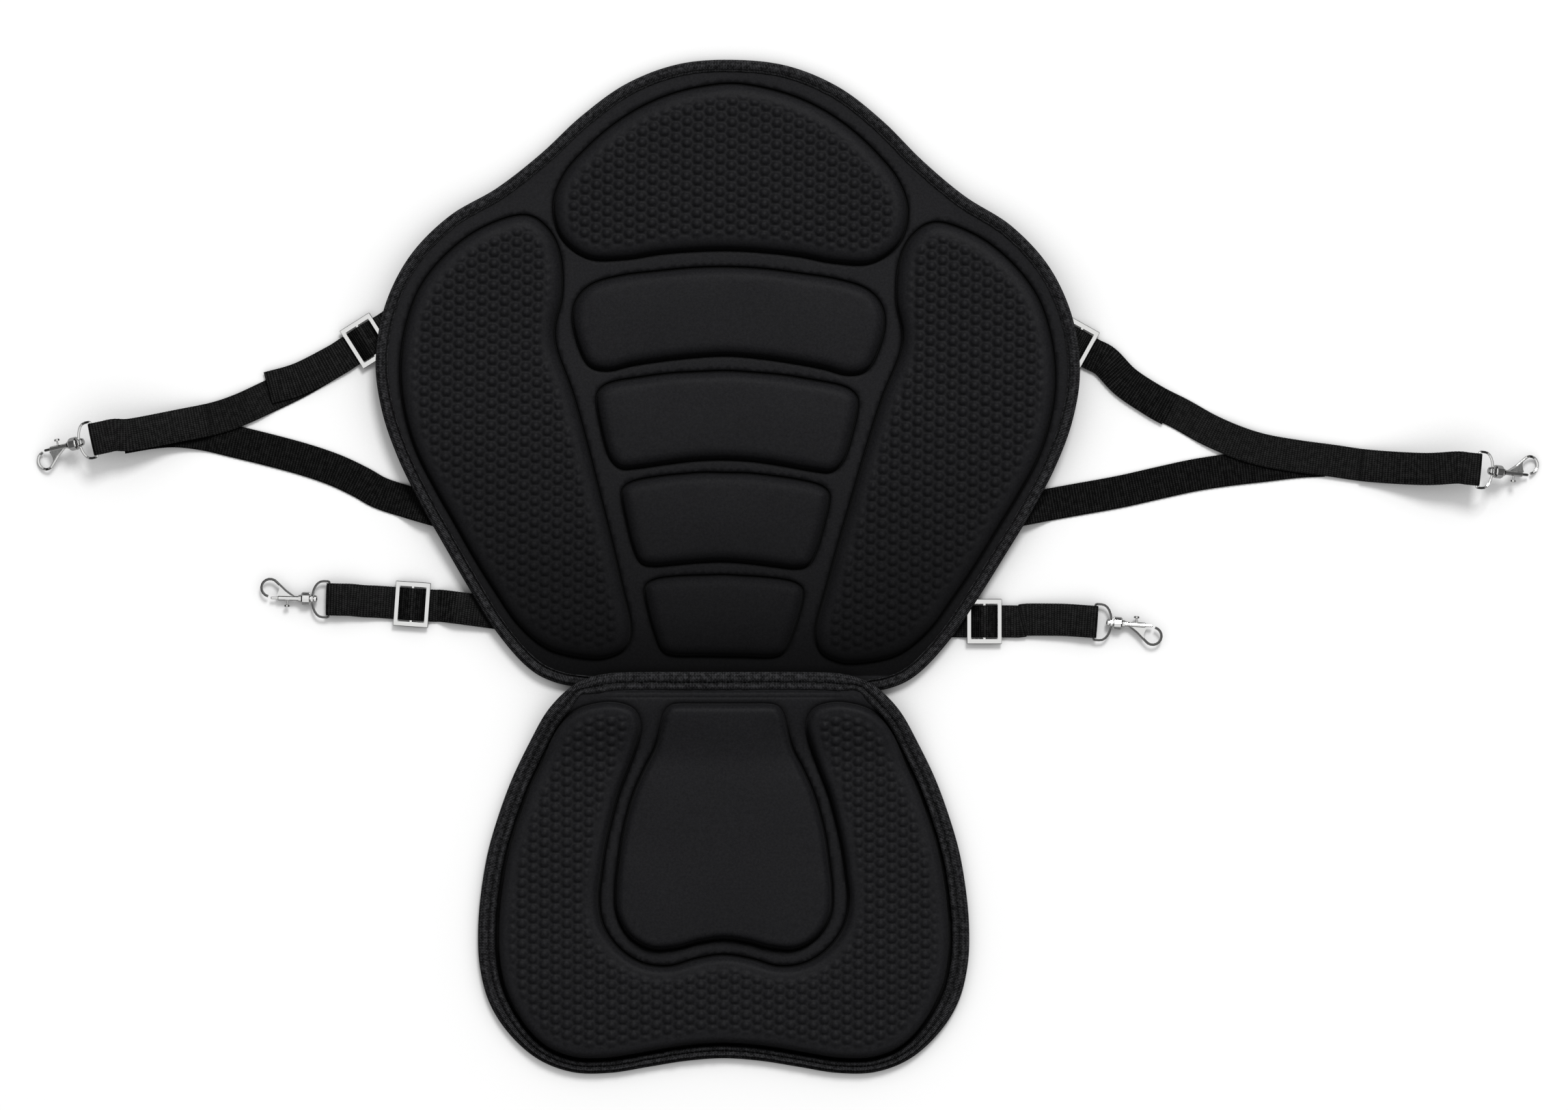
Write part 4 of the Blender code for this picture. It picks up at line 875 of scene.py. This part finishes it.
def back_top_height(points):
    z = np.full(len(points), BACK_FLANGE_TOP)
    for panel in back_bumpy:
        d = edge_distance(panel, points)
        bumps = bump_relief(points, BACK_BUMP_STEP) * bump_share(d) * BUMP_HEIGHT
        z += panel_height(d, BACK_RISE, *BACK_EDGE) + bumps
    for panel in back_plain:
        z += panel_height(edge_distance(panel, points), BACK_RISE, *BACK_EDGE)
    return z + back_crown(points) + soft_waves(points, back_edge)


back_rim = back_edge + inward(back_edge) * (BACK_TAPE + GAP)
back_loose = pad_points(back_edge, back_bumpy, back_plain, BACK_BUMP_STEP, 3.0)
backrest_pad = closed_shell("backrest_padding", back_rim, back_loose, back_top_height,
                            BACK_TAPE + BACKING_THICK + 2 * GAP, back_to_row, knit)
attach(backrest_pad, "backrest")
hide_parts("backrest_pad")

# %% [markdown]
# The seat's pad has a bumpy panel that runs round three sides like a horseshoe, and a plain
# panel in its middle.

# %% Seat pad
FOLD_LINES = (136.0, 132.4)
FOLD_DEPTH = 0.35
FOLD_WIDTH = 0.6
MOAT_WIDTH = 4.0  # the dip between the raised pad and the tape
MOAT_DEPTH = 3.0


def seat_top_height(points):
    """The seat's top, with two faint lines where the foam folds beside its rear tape."""
    d = edge_distance(seat_u, points)
    folds = sum(np.exp(-((points[:, 1] - y) / FOLD_WIDTH) ** 2) for y in FOLD_LINES)
    bumps = bump_relief(points, SEAT_BUMP_STEP) * bump_share(d) * SEAT_BUMP_HEIGHT
    z = SEAT_FLANGE_TOP + bumps
    crease = CREASE_DEPTH * (1 - 0.8 * ease((points[:, 1] - 85.0) / 30.0))
    z += panel_height(d, SEAT_RISE, crease=crease)
    z += panel_height(edge_distance(seat_centre, points), SEAT_RISE, crease=crease)
    z -= FOLD_DEPTH * folds * ease((100.0 - np.abs(points[:, 0])) / 30.0)
    beside = (edge_distance(seat_edge, points) - seat_lip(points) - MOAT_WIDTH / 2) / MOAT_WIDTH
    z -= MOAT_DEPTH * np.exp(-(2 * beside) ** 2) * (d <= 0) * ease((125.0 - points[:, 1]) / 15.0)
    return z + seat_crown(points) + soft_waves(points, seat_edge)


seat_rim = seat_edge + inward(seat_edge) * (SEAT_TAPE + GAP)
seat_loose = pad_points(seat_edge, [seat_u], [seat_centre], SEAT_BUMP_STEP, 3.0)
seat_loose = np.vstack([seat_loose] + [[(x, y + d) for x in np.arange(-98.0, 99.0, 2.0)]
                                       for y in FOLD_LINES for d in (-1.0, -0.5, 0.0, 0.5, 1.0)])
seat_pad = closed_shell("seat_padding", seat_rim, seat_loose, seat_top_height,
                        SEAT_TAPE + BACKING_THICK + 2 * GAP, seat_to_row, knit)
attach(seat_pad, "seat")
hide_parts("seat_pad")

# %% [markdown]
# Each pad's underside is a plain woven cloth, stretched flat and caught under the tape.

# %% Backing cloths


def backing_cloth(name, edge, tape_thick, lip_of, place, body, node):
    """A thin closed cloth whose rim is held inside the tape."""
    side, lip, low = inward(edge), lip_of(edge), tape_thick + GAP
    rim = edge + side * low
    step = edge + side * (lip + GAP)[:, None]
    floor_ring = edge + side * (lip + 3 * GAP)[:, None]

    def under_height(points):
        inner = edge_distance(edge, points) - lip_of(points)
        return low * (1 - ease((inner - GAP * 0.5) / (2 * GAP)))

    piece = closed_shell(name, rim, np.vstack([step, floor_ring, coarse_points(floor_ring)]),
                         under_height, low + BACKING_THICK, place, backing)
    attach(piece, body)
    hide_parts(node)
    return piece


backing_cloth("seat_backing_cloth", seat_edge, SEAT_TAPE, seat_lip, seat_to_row, "seat",
              "seat_backing")
backing_cloth("backrest_backing_cloth", back_edge, BACK_TAPE, back_lip, back_to_row, "backrest",
              "backrest_backing")

# %% [markdown]
# The edge tape is one long ribbon folded round the pad's flange and sewn down with a single
# row of stitches. It could be a curve with a bevel, but a swept section lets its width change
# along the edge, lets the fold pucker between stitches and gives the ribs a map of their own.

# %% Edge tapes
TAPE_RIB_DEPTH = 0.2
TAPE_SWELL = 0.9
STITCH_MM = 3.2
GROOVE_DEPTH = 1.8
GROOVE_WIDTH = 0.045  # as a share of the tape's width
PINCH = 0.3  # share of its width that the tape loses where it is pinched
# Where the tape's end lies over its start: end, way along the edge, length and extra height
SEAT_TAPE_OVERLAPS = [(np.array((-3.6, 151.5)), np.array((-1.0, 0.0)), 40.0, 0.6)]
SEAT_TAPE_PINCHES = [np.array((104.0, 146.0)), np.array((-112.0, 141.0))]


def add_map(piece, corners):
    """Store the distances along and across, one pair for every corner of every face."""
    uv = piece.data.uv_layers.new(name="along_across")
    uv.data.foreach_set("uv", (corners * MM).ravel())


def swept(name, stations, material, place):
    """A closed tube of sections, one a station, with its along and across map.

    stations is an array of stations by section points by (x, y, z).
    """
    n, k = stations.shape[:2]
    points = stations.reshape(-1, 3)
    faces = [(i * k + a, ((i + 1) % n) * k + a, ((i + 1) % n) * k + (a + 1) % k,
              i * k + (a + 1) % k) for i in range(n) for a in range(k)]
    middle = stations.mean(1)
    along = np.r_[lengths(middle), 0]
    along[-1] = along[-2] + np.linalg.norm(middle[-1] - middle[0])
    hoop = np.roll(stations[0], -1, 0) - stations[0]
    across = np.r_[0, np.cumsum(np.linalg.norm(hoop, axis=1))]
    piece = add_piece(name, place(points), faces, material)
    add_map(piece, np.array([(along[i + di], across[a + da]) for i in range(n)
                             for a in range(k) for di, da in ((0, 0), (1, 0), (1, 1), (0, 1))]))
    fix_normals(piece)
    return piece


def edge_tape(name, edge, lip, thick, height, flange_top, place, pucker, groove_at,
              overlaps=(), pinches=()):
    """Ribbed tape round an edge. Its section starts at the inner edge underneath.

    Every second station lies a little lower, which makes the ribs. The stitches pull the
    groove down between them.
    """
    side = inward(edge)
    along = lengths(edge)
    bend = np.linspace(-math.pi / 2, math.pi / 2, 9)
    shares = np.array([0.22, 0.34, 0.46, groove_at - 0.08, groove_at - 0.035, groove_at,
                       groove_at + 0.035, groove_at + 0.08, 0.95, 0.985, 1.0])
    shares.sort()
    stations = []
    for i, (at, way, width, s) in enumerate(zip(edge, side, lip, along)):
        sink = TAPE_RIB_DEPTH * (i % 2)
        wave = pucker(s) + sum(lift * (0 <= (at - end) @ run < reach)
                               for end, run, reach, lift in overlaps)
        pull = 0.6 + 0.4 * math.cos(2 * math.pi * s / STITCH_MM)
        width *= 1 - sum(PINCH * math.exp(-(((at - spot) ** 2).sum()) / 90.0)
                         for spot in pinches)
        width += wave * 0.5
        section = [(width, thick), (width, 0.0), (width * 0.5, 0.0)]
        section += [(height * 0.32 * (1 - math.cos(a)) + sink * max(0.0, math.sin(a)),
                     height / 2 * (1 + math.sin(a)) - sink * max(0.0, math.sin(a)))
                    for a in bend]
        for share in shares:
            dip = math.exp(-((share - groove_at) / GROOVE_WIDTH) ** 2) * pull * GROOVE_DEPTH
            lobe = share / groove_at if share < groove_at else \
                (share - groove_at) / (1 - groove_at)
            swell = TAPE_SWELL * (math.sin(math.pi * min(1.0, lobe)) - 0.5)
            z = height + wave * (1 - share * 0.6) + swell - dip - sink
            section.append((width * share, z if share < 0.97 else height - 0.5 - sink))
        section += [(width, flange_top + GAP), (width * 0.5, flange_top + GAP),
                    (thick, flange_top + GAP), (thick, thick)]
        stations.append([(at[0] + way[0] * reach, at[1] + way[1] * reach, z)
                         for reach, z in section])
    return swept(name, np.array(stations), tape, place)


def puckers(step, height, seed):
    """Small uneven folds of the tape between its stitches."""
    def wave(s):
        n = noise.noise(Vector((s / step, seed, 0.0)))
        m = noise.noise(Vector((s / (step * 0.4), seed + 5.0, 0.0)))
        return height * (n + 0.5 * m)
    return wave


fine_seat_edge = outline_of(mirrored(SEAT_HALF), TAPE_RIB_MM / 2)
fine_back_edge = outline_of(mirrored(BACK_HALF), TAPE_RIB_MM / 2)
seat_tape = edge_tape("seat_edge_tape", fine_seat_edge, seat_lip(fine_seat_edge), SEAT_TAPE,
                      SEAT_HEIGHT, SEAT_FLANGE_TOP, seat_to_row, puckers(7.0, 1.2, 1.0), 0.62,
                      SEAT_TAPE_OVERLAPS, SEAT_TAPE_PINCHES)
back_tape = edge_tape("backrest_edge_tape", fine_back_edge, back_lip(fine_back_edge), BACK_TAPE,
                      BACK_HEIGHT, BACK_FLANGE_TOP, back_to_row, puckers(6.0, 0.45, 2.0), 0.86)
for piece, body, node in ((seat_tape, "seat", "seat_binding"),
                          (back_tape, "backrest", "backrest_binding")):
    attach(piece, body)
    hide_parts(node)

# %% [markdown]
# Webbing is woven in rows across the strap, and each row shows a line of small yarns, shifted
# by half a yarn from row to row. The straps are swept like the tape, but with the weave cut
# into their faces. A plain strap with a bump map would be lighter, but its edge would stay
# straight as a ruler where the real one shows its rows. The routes, folds and turns through
# the sliders are the CAD model's own.

# %% Webbing helpers
ROW_SPLIT = 4
YARNS_ACROSS = 16
ROW_DEPTH = 0.55
YARN_DEPTH = 0.3
SELVEDGE = 0.5


def webbing_section():
    """Shares across the strap and its two sides: fine on top, coarse underneath."""
    top = np.linspace(1, -1, 2 * YARNS_ACROSS + 1)
    under = np.array([-1, -0.9, -0.3, 0.3, 0.9, 1])
    return np.r_[top, under], np.r_[np.ones(len(top)), -np.ones(len(under))]


def ribbon(name, route, profile, held=None):
    """Woven webbing along a plan route, with heights from a side profile of (s, z).

    The profile can fold back over itself. held gives the height of the ground by place.
    """
    along = lengths(route)
    ends = [(route[0] - route[1]) / along[1],
            (route[-1] - route[-2]) / np.linalg.norm(route[-1] - route[-2])]

    def plan(s):
        flat = np.stack([np.interp(s, along, route[:, k]) for k in (0, 1)], -1)
        flat += np.maximum(-s, 0)[..., None] * ends[0]
        return flat + np.maximum(s - along[-1], 0)[..., None] * ends[1]

    profile = resample(np.array(profile, float), WEBBING_ROW_MM / ROW_SPLIT, closed=False)
    run = np.gradient(profile, axis=0)
    run /= np.linalg.norm(run, axis=1)[:, None]
    path = lengths(profile)
    ahead = plan(profile[:, 0] + 3.0) - plan(profile[:, 0] - 3.0)
    ahead /= np.linalg.norm(ahead, axis=1)[:, None]
    side = np.stack([-ahead[:, 1], ahead[:, 0]], 1)
    u, up = webbing_section()
    row = 0.5 - 0.5 * np.cos(2 * math.pi * path / WEBBING_ROW_MM)
    parity = np.floor(path / WEBBING_ROW_MM) % 2
    yarn = 0.5 - 0.5 * np.cos(math.pi * (u[None] * YARNS_ACROSS + parity[:, None]))
    sunk = ROW_DEPTH * row[:, None] + YARN_DEPTH * yarn
    sunk = sunk + SELVEDGE * np.clip((np.abs(u) - 0.93) / 0.07, 0, 1) ** 2
    half = up[None] * (WEBBING_THICK / 2 - sunk)
    edge = WEBBING_WIDTH / 2 - 0.15 * row[:, None]
    at = plan(profile[:, :1] - run[:, 1:] * half) + side[:, None] * (u * edge)[..., None]
    z = profile[:, 1:] + run[:, :1] * half
    if held:
        z = z + held(at.reshape(-1, 2)).reshape(z.shape)
    n, k = z.shape
    points = np.concatenate([at, z[..., None]], -1).reshape(-1, 3)
    faces = [(i * k + a, (i + 1) * k + a, (i + 1) * k + (a + 1) % k, i * k + (a + 1) % k)
             for i in range(n - 1) for a in range(k)]
    faces += [tuple(range(k)), tuple(range((n - 1) * k, n * k))[::-1]]
    piece = add_piece(name, points, faces, webbing)
    print(name, round(float(path[-1])), "mm of webbing")
    across = np.broadcast_to(u * WEBBING_WIDTH / 2, (n, k)).ravel()
    distance = np.repeat(path, k)
    corners = np.concatenate([np.array(face) for face in faces])
    add_map(piece, np.stack([distance, across], 1)[corners])
    fix_normals(piece)
    return piece


def arc(centre, radius, start_deg, end_deg, count):
    """Points on an arc."""
    turns = np.radians(np.linspace(start_deg, end_deg, count))
    return [(centre[0] + radius * math.cos(a), centre[1] + radius * math.sin(a))
            for a in turns]


def heading(deg):
    return np.array([math.cos(math.radians(deg)), math.sin(math.radians(deg))])


# %% [markdown]
# The measured routes of the straps, in plan, from the middle of each hook's bar.

# %% Routes of the straps
SLIDERS = {
    "left_upper": ((-270.0, 401.5), 32.2),
    "right_upper": ((264.5, 399.2), 151.0),
    "left_lower": ((-235.5, 202.5), -4.0),
    "right_lower": ((197.0, 189.5), 180.0),
}
STRAP_ROUTES = {
    "left_upper": [(-474.0, 326.8), (-445.5, 330.5), (-411, 337.5), (-385, 343),
                   (-365.5, 349.5), (-345, 359), (-320.5, 371)],
    "right_upper": [(568.0, 304.0), (528, 304.5), (488.5, 307), (459.5, 311),
                    (433.5, 314.5), (408, 319), (387, 325.5), (366.5, 334.5), (346, 346),
                    (325.5, 356.5), (304, 370.5)],
    "left_lower": [(-298.0, 206.2), (-272, 204.8)],
    "right_lower": [(280.0, 189.2), (253, 190.8), (227.5, 190.8)],
}
TAIL_ENDS = {"left_upper": [(-344.5, 366), (-320.5, 373)],
             "right_upper": [(337, 349), (325.5, 355.5), (304, 370)]}
ANCHOR_ENDS = {"left_upper": (-205.0, 442.5), "right_upper": (199.0, 435.5),
               "left_lower": (-140.0, 191.5), "right_lower": (118.0, 188.0)}
LOWER_LEGS = {
    "left": [(-453, 328), (-430, 332), (-412, 333), (-391.5, 330.5), (-368, 325),
             (-343.5, 319), (-316, 311.5), (-293, 303.5), (-274, 294.5), (-259.5, 286.5),
             (-236.5, 279), (-205, 270), (-182, 264)],
    "right": [(454, 311), (433.5, 310), (408, 307), (382, 304), (356, 300), (330.5, 294.5),
              (299.5, 287.5), (266.5, 281.5), (244.5, 277.5), (205, 270), (182, 266)],
}
HOOK_HEADINGS = {"left_upper": 192.0, "right_upper": -5.6, "left_lower": 178.5,
                 "right_lower": -4.0}
SLIDER_RUN = (-28.0, -16.0, 0.0, 16.0, 30.0)
ANCHOR_CLIMB = (15.0, 36.0)
LEG_CLIMB = (-68.0, -38.0)
PLY_STEP = 1.95
MIDDLE_PLY_Z = WEBBING_THICK / 2 + 1.5 * PLY_STEP
FOLD_LENGTH = 86.0
Y_LEVEL_DROP = {"left": (120.0, 135.0), "right": (194.0, 216.0)}
Y_RISE_FROM = 88.0
UPPER_BAR_Z = 23.484
LOWER_BAR_Z = 5.25
EYE_WIRE = 2.0
SLIDER_THICK = 2.0
SLIDER_CENTRE_BAR = 2.4
SLOT_Z = BACK_BASE + WEBBING_THICK / 2
BAR_Z = SLOT_Z + WEBBING_THICK / 2 + GAP + SLIDER_THICK / 2
FLOOR_Z = WEBBING_THICK / 2
WRAP_RADIUS = math.hypot(SLIDER_CENTRE_BAR, SLIDER_THICK) / 2 + GAP + WEBBING_THICK / 2
OVER_RADIUS = WRAP_RADIUS + WEBBING_THICK + GAP
RAMP_REACH = 9.0


def through_slider(before, name, after):
    """A plan route straight through a slider, and the slider's place along it."""
    centre, way = np.array(SLIDERS[name][0]), heading(SLIDERS[name][1])
    keys = list(before) + [centre + u * way for u in SLIDER_RUN[:-1]]
    if after:
        keys += [centre + SLIDER_RUN[-1] * way] + list(after)
    route = resample(spline(keys, False), 2.0, False)
    near = int(np.linalg.norm(route - centre, axis=1).argmin())
    return route, float(lengths(route)[near]) + float((centre - route[near]) @ way)


def from_hook(name):
    """A strap's route, straight out of its hook."""
    bar, way = np.array(STRAP_ROUTES[name][0]), heading(HOOK_HEADINGS[name])
    return [bar, bar - 8 * way, bar - 16 * way] + STRAP_ROUTES[name][1:]


def over_centre_bar(s):
    """Side profile from the near side of a slider, over its centre bar, to the far side."""
    lean = math.degrees(math.asin(OVER_RADIUS / math.hypot(RAMP_REACH, BAR_Z - SLOT_Z))
                        + math.atan2(BAR_Z - SLOT_Z, RAMP_REACH))
    return ([(s + RAMP_REACH, SLOT_Z)] + arc((s, BAR_Z), OVER_RADIUS, 90 - lean, 90 + lean, 13)
            + [(s - RAMP_REACH, SLOT_Z)])


def wrap_centre_bar(s):
    """Side profile of a strap end that wraps a slider's centre bar."""
    return [(s - RAMP_REACH, FLOOR_Z)] + arc((s, BAR_Z), WRAP_RADIUS, -84, 165, 20)


def fold_round_bar(bar_z):
    """Side profile of webbing that turns back round a hook's bar."""
    return arc((0.0, bar_z), EYE_WIRE / 2 + GAP + WEBBING_THICK / 2, 90, 270, 17)


def wing_ground(origin, way, start, stop):
    """How high the backrest's wing holds up webbing that is sewn under it."""
    def held(at):
        local_x = (at - np.array(HINGE)) @ heading(math.degrees(BACK_YAW))
        return wing_lift(local_x) * ease(((at - origin) @ way - start) / (stop - start))
    return held


def y_ground(name):
    """How high the dipped hook holds up the end of a Y strap."""
    bar, way = np.array(STRAP_ROUTES[name][0]), heading(HOOK_HEADINGS[name])
    top = UPPER_BAR_Z - MIDDLE_PLY_Z
    return lambda at: top * ease(1 - (bar - at) @ way / Y_RISE_FROM)


def slider_ground(name):
    centre, deg = SLIDERS[name]
    return wing_ground(np.array(centre), heading(deg), *ANCHOR_CLIMB)


def anchor_profile(end, s):
    climb = [(u, FLOOR_Z) for u in np.linspace(s + ANCHOR_CLIMB[1], s + ANCHOR_CLIMB[0] + 4, 4)]
    return [(end, FLOOR_Z)] + climb + [(s + 14, SLOT_Z)]


def lower_strap(name):
    """From under the backrest, through the slider, round the hook and back to the slider."""
    route, s = through_slider(from_hook(name), name, [ANCHOR_ENDS[name]])
    fold = fold_round_bar(LOWER_BAR_Z)
    profile = anchor_profile(lengths(route)[-1], s) + over_centre_bar(s)
    profile += [(s - 14, SLOT_Z), (s - 24, SLOT_Z + 0.6), (14.0, fold[0][1] - 0.9),
                (7.0, fold[0][1])] + fold
    profile += [(7.0, fold[-1][1] - 0.1), (14.0, FLOOR_Z + 1.0), (24.0, FLOOR_Z),
                (s - 24, FLOOR_Z)] + wrap_centre_bar(s)
    return route, profile, slider_ground(name)


def upper_leg(name, drop):
    """A Y strap's long leg: its sewn fold, round the hook, and along to the slider."""
    route, s = through_slider(from_hook(name), name, [])
    fold = fold_round_bar(MIDDLE_PLY_Z)
    upper, lower = FLOOR_Z + 2 * PLY_STEP, FLOOR_Z + PLY_STEP
    profile = [(u, upper) for u in np.linspace(FOLD_LENGTH, 18.0, 7)]
    profile += [(9.0, 0.5 * (upper + fold[0][1]))] + fold
    profile += [(9.0, 0.5 * (lower + fold[-1][1]))]
    profile += [(u, lower) for u in np.linspace(18.0, FOLD_LENGTH, 7)]
    profile += [(drop[0], lower), (drop[1], FLOOR_Z), (s - 22, FLOOR_Z)] + wrap_centre_bar(s)
    return route, profile, y_ground(name)


def slider_anchor(name):
    """The short webbing sewn under the backrest, with its tail on the long leg."""
    route, s = through_slider(TAIL_ENDS[name], name, [ANCHOR_ENDS[name]])
    profile = anchor_profile(lengths(route)[-1], s) + over_centre_bar(s)
    profile += [(s - 14, SLOT_Z), (s - 40, SLOT_Z), (0.0, SLOT_Z)]
    return route, profile, slider_ground(name)


def lower_leg(side):
    """The Y strap's short leg, from its cut end under the long leg to the backrest."""
    route = resample(spline(LOWER_LEGS[side], False), 3.0, False)
    end = lengths(route)[-1]
    way = (route[-1] - route[-4]) / np.linalg.norm(route[-1] - route[-4])
    near_hook, under_wing = y_ground(side + "_upper"), wing_ground(route[-1], way, *LEG_CLIMB)
    return route, [(0.0, FLOOR_Z), (end, FLOOR_Z)], lambda at: near_hook(at) + under_wing(at)


# %% [markdown]
# Each strap takes the place of its CAD solid.

# %% Straps
for side in ("left", "right"):
    upper, lower = side + "_upper", side + "_lower"
    for node, (route, profile, held) in (
            (upper + "_leg", upper_leg(upper, Y_LEVEL_DROP[side])),
            (side + "_slider_anchor", slider_anchor(upper)),
            (side + "_lower_leg", lower_leg(side)),
            (lower + "_strap", lower_strap(lower))):
        piece = ribbon(node + "_webbing", route, profile, held)
        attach(piece, "backrest")
        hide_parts(node)
        print(node, len(piece.data.polygons), "faces")
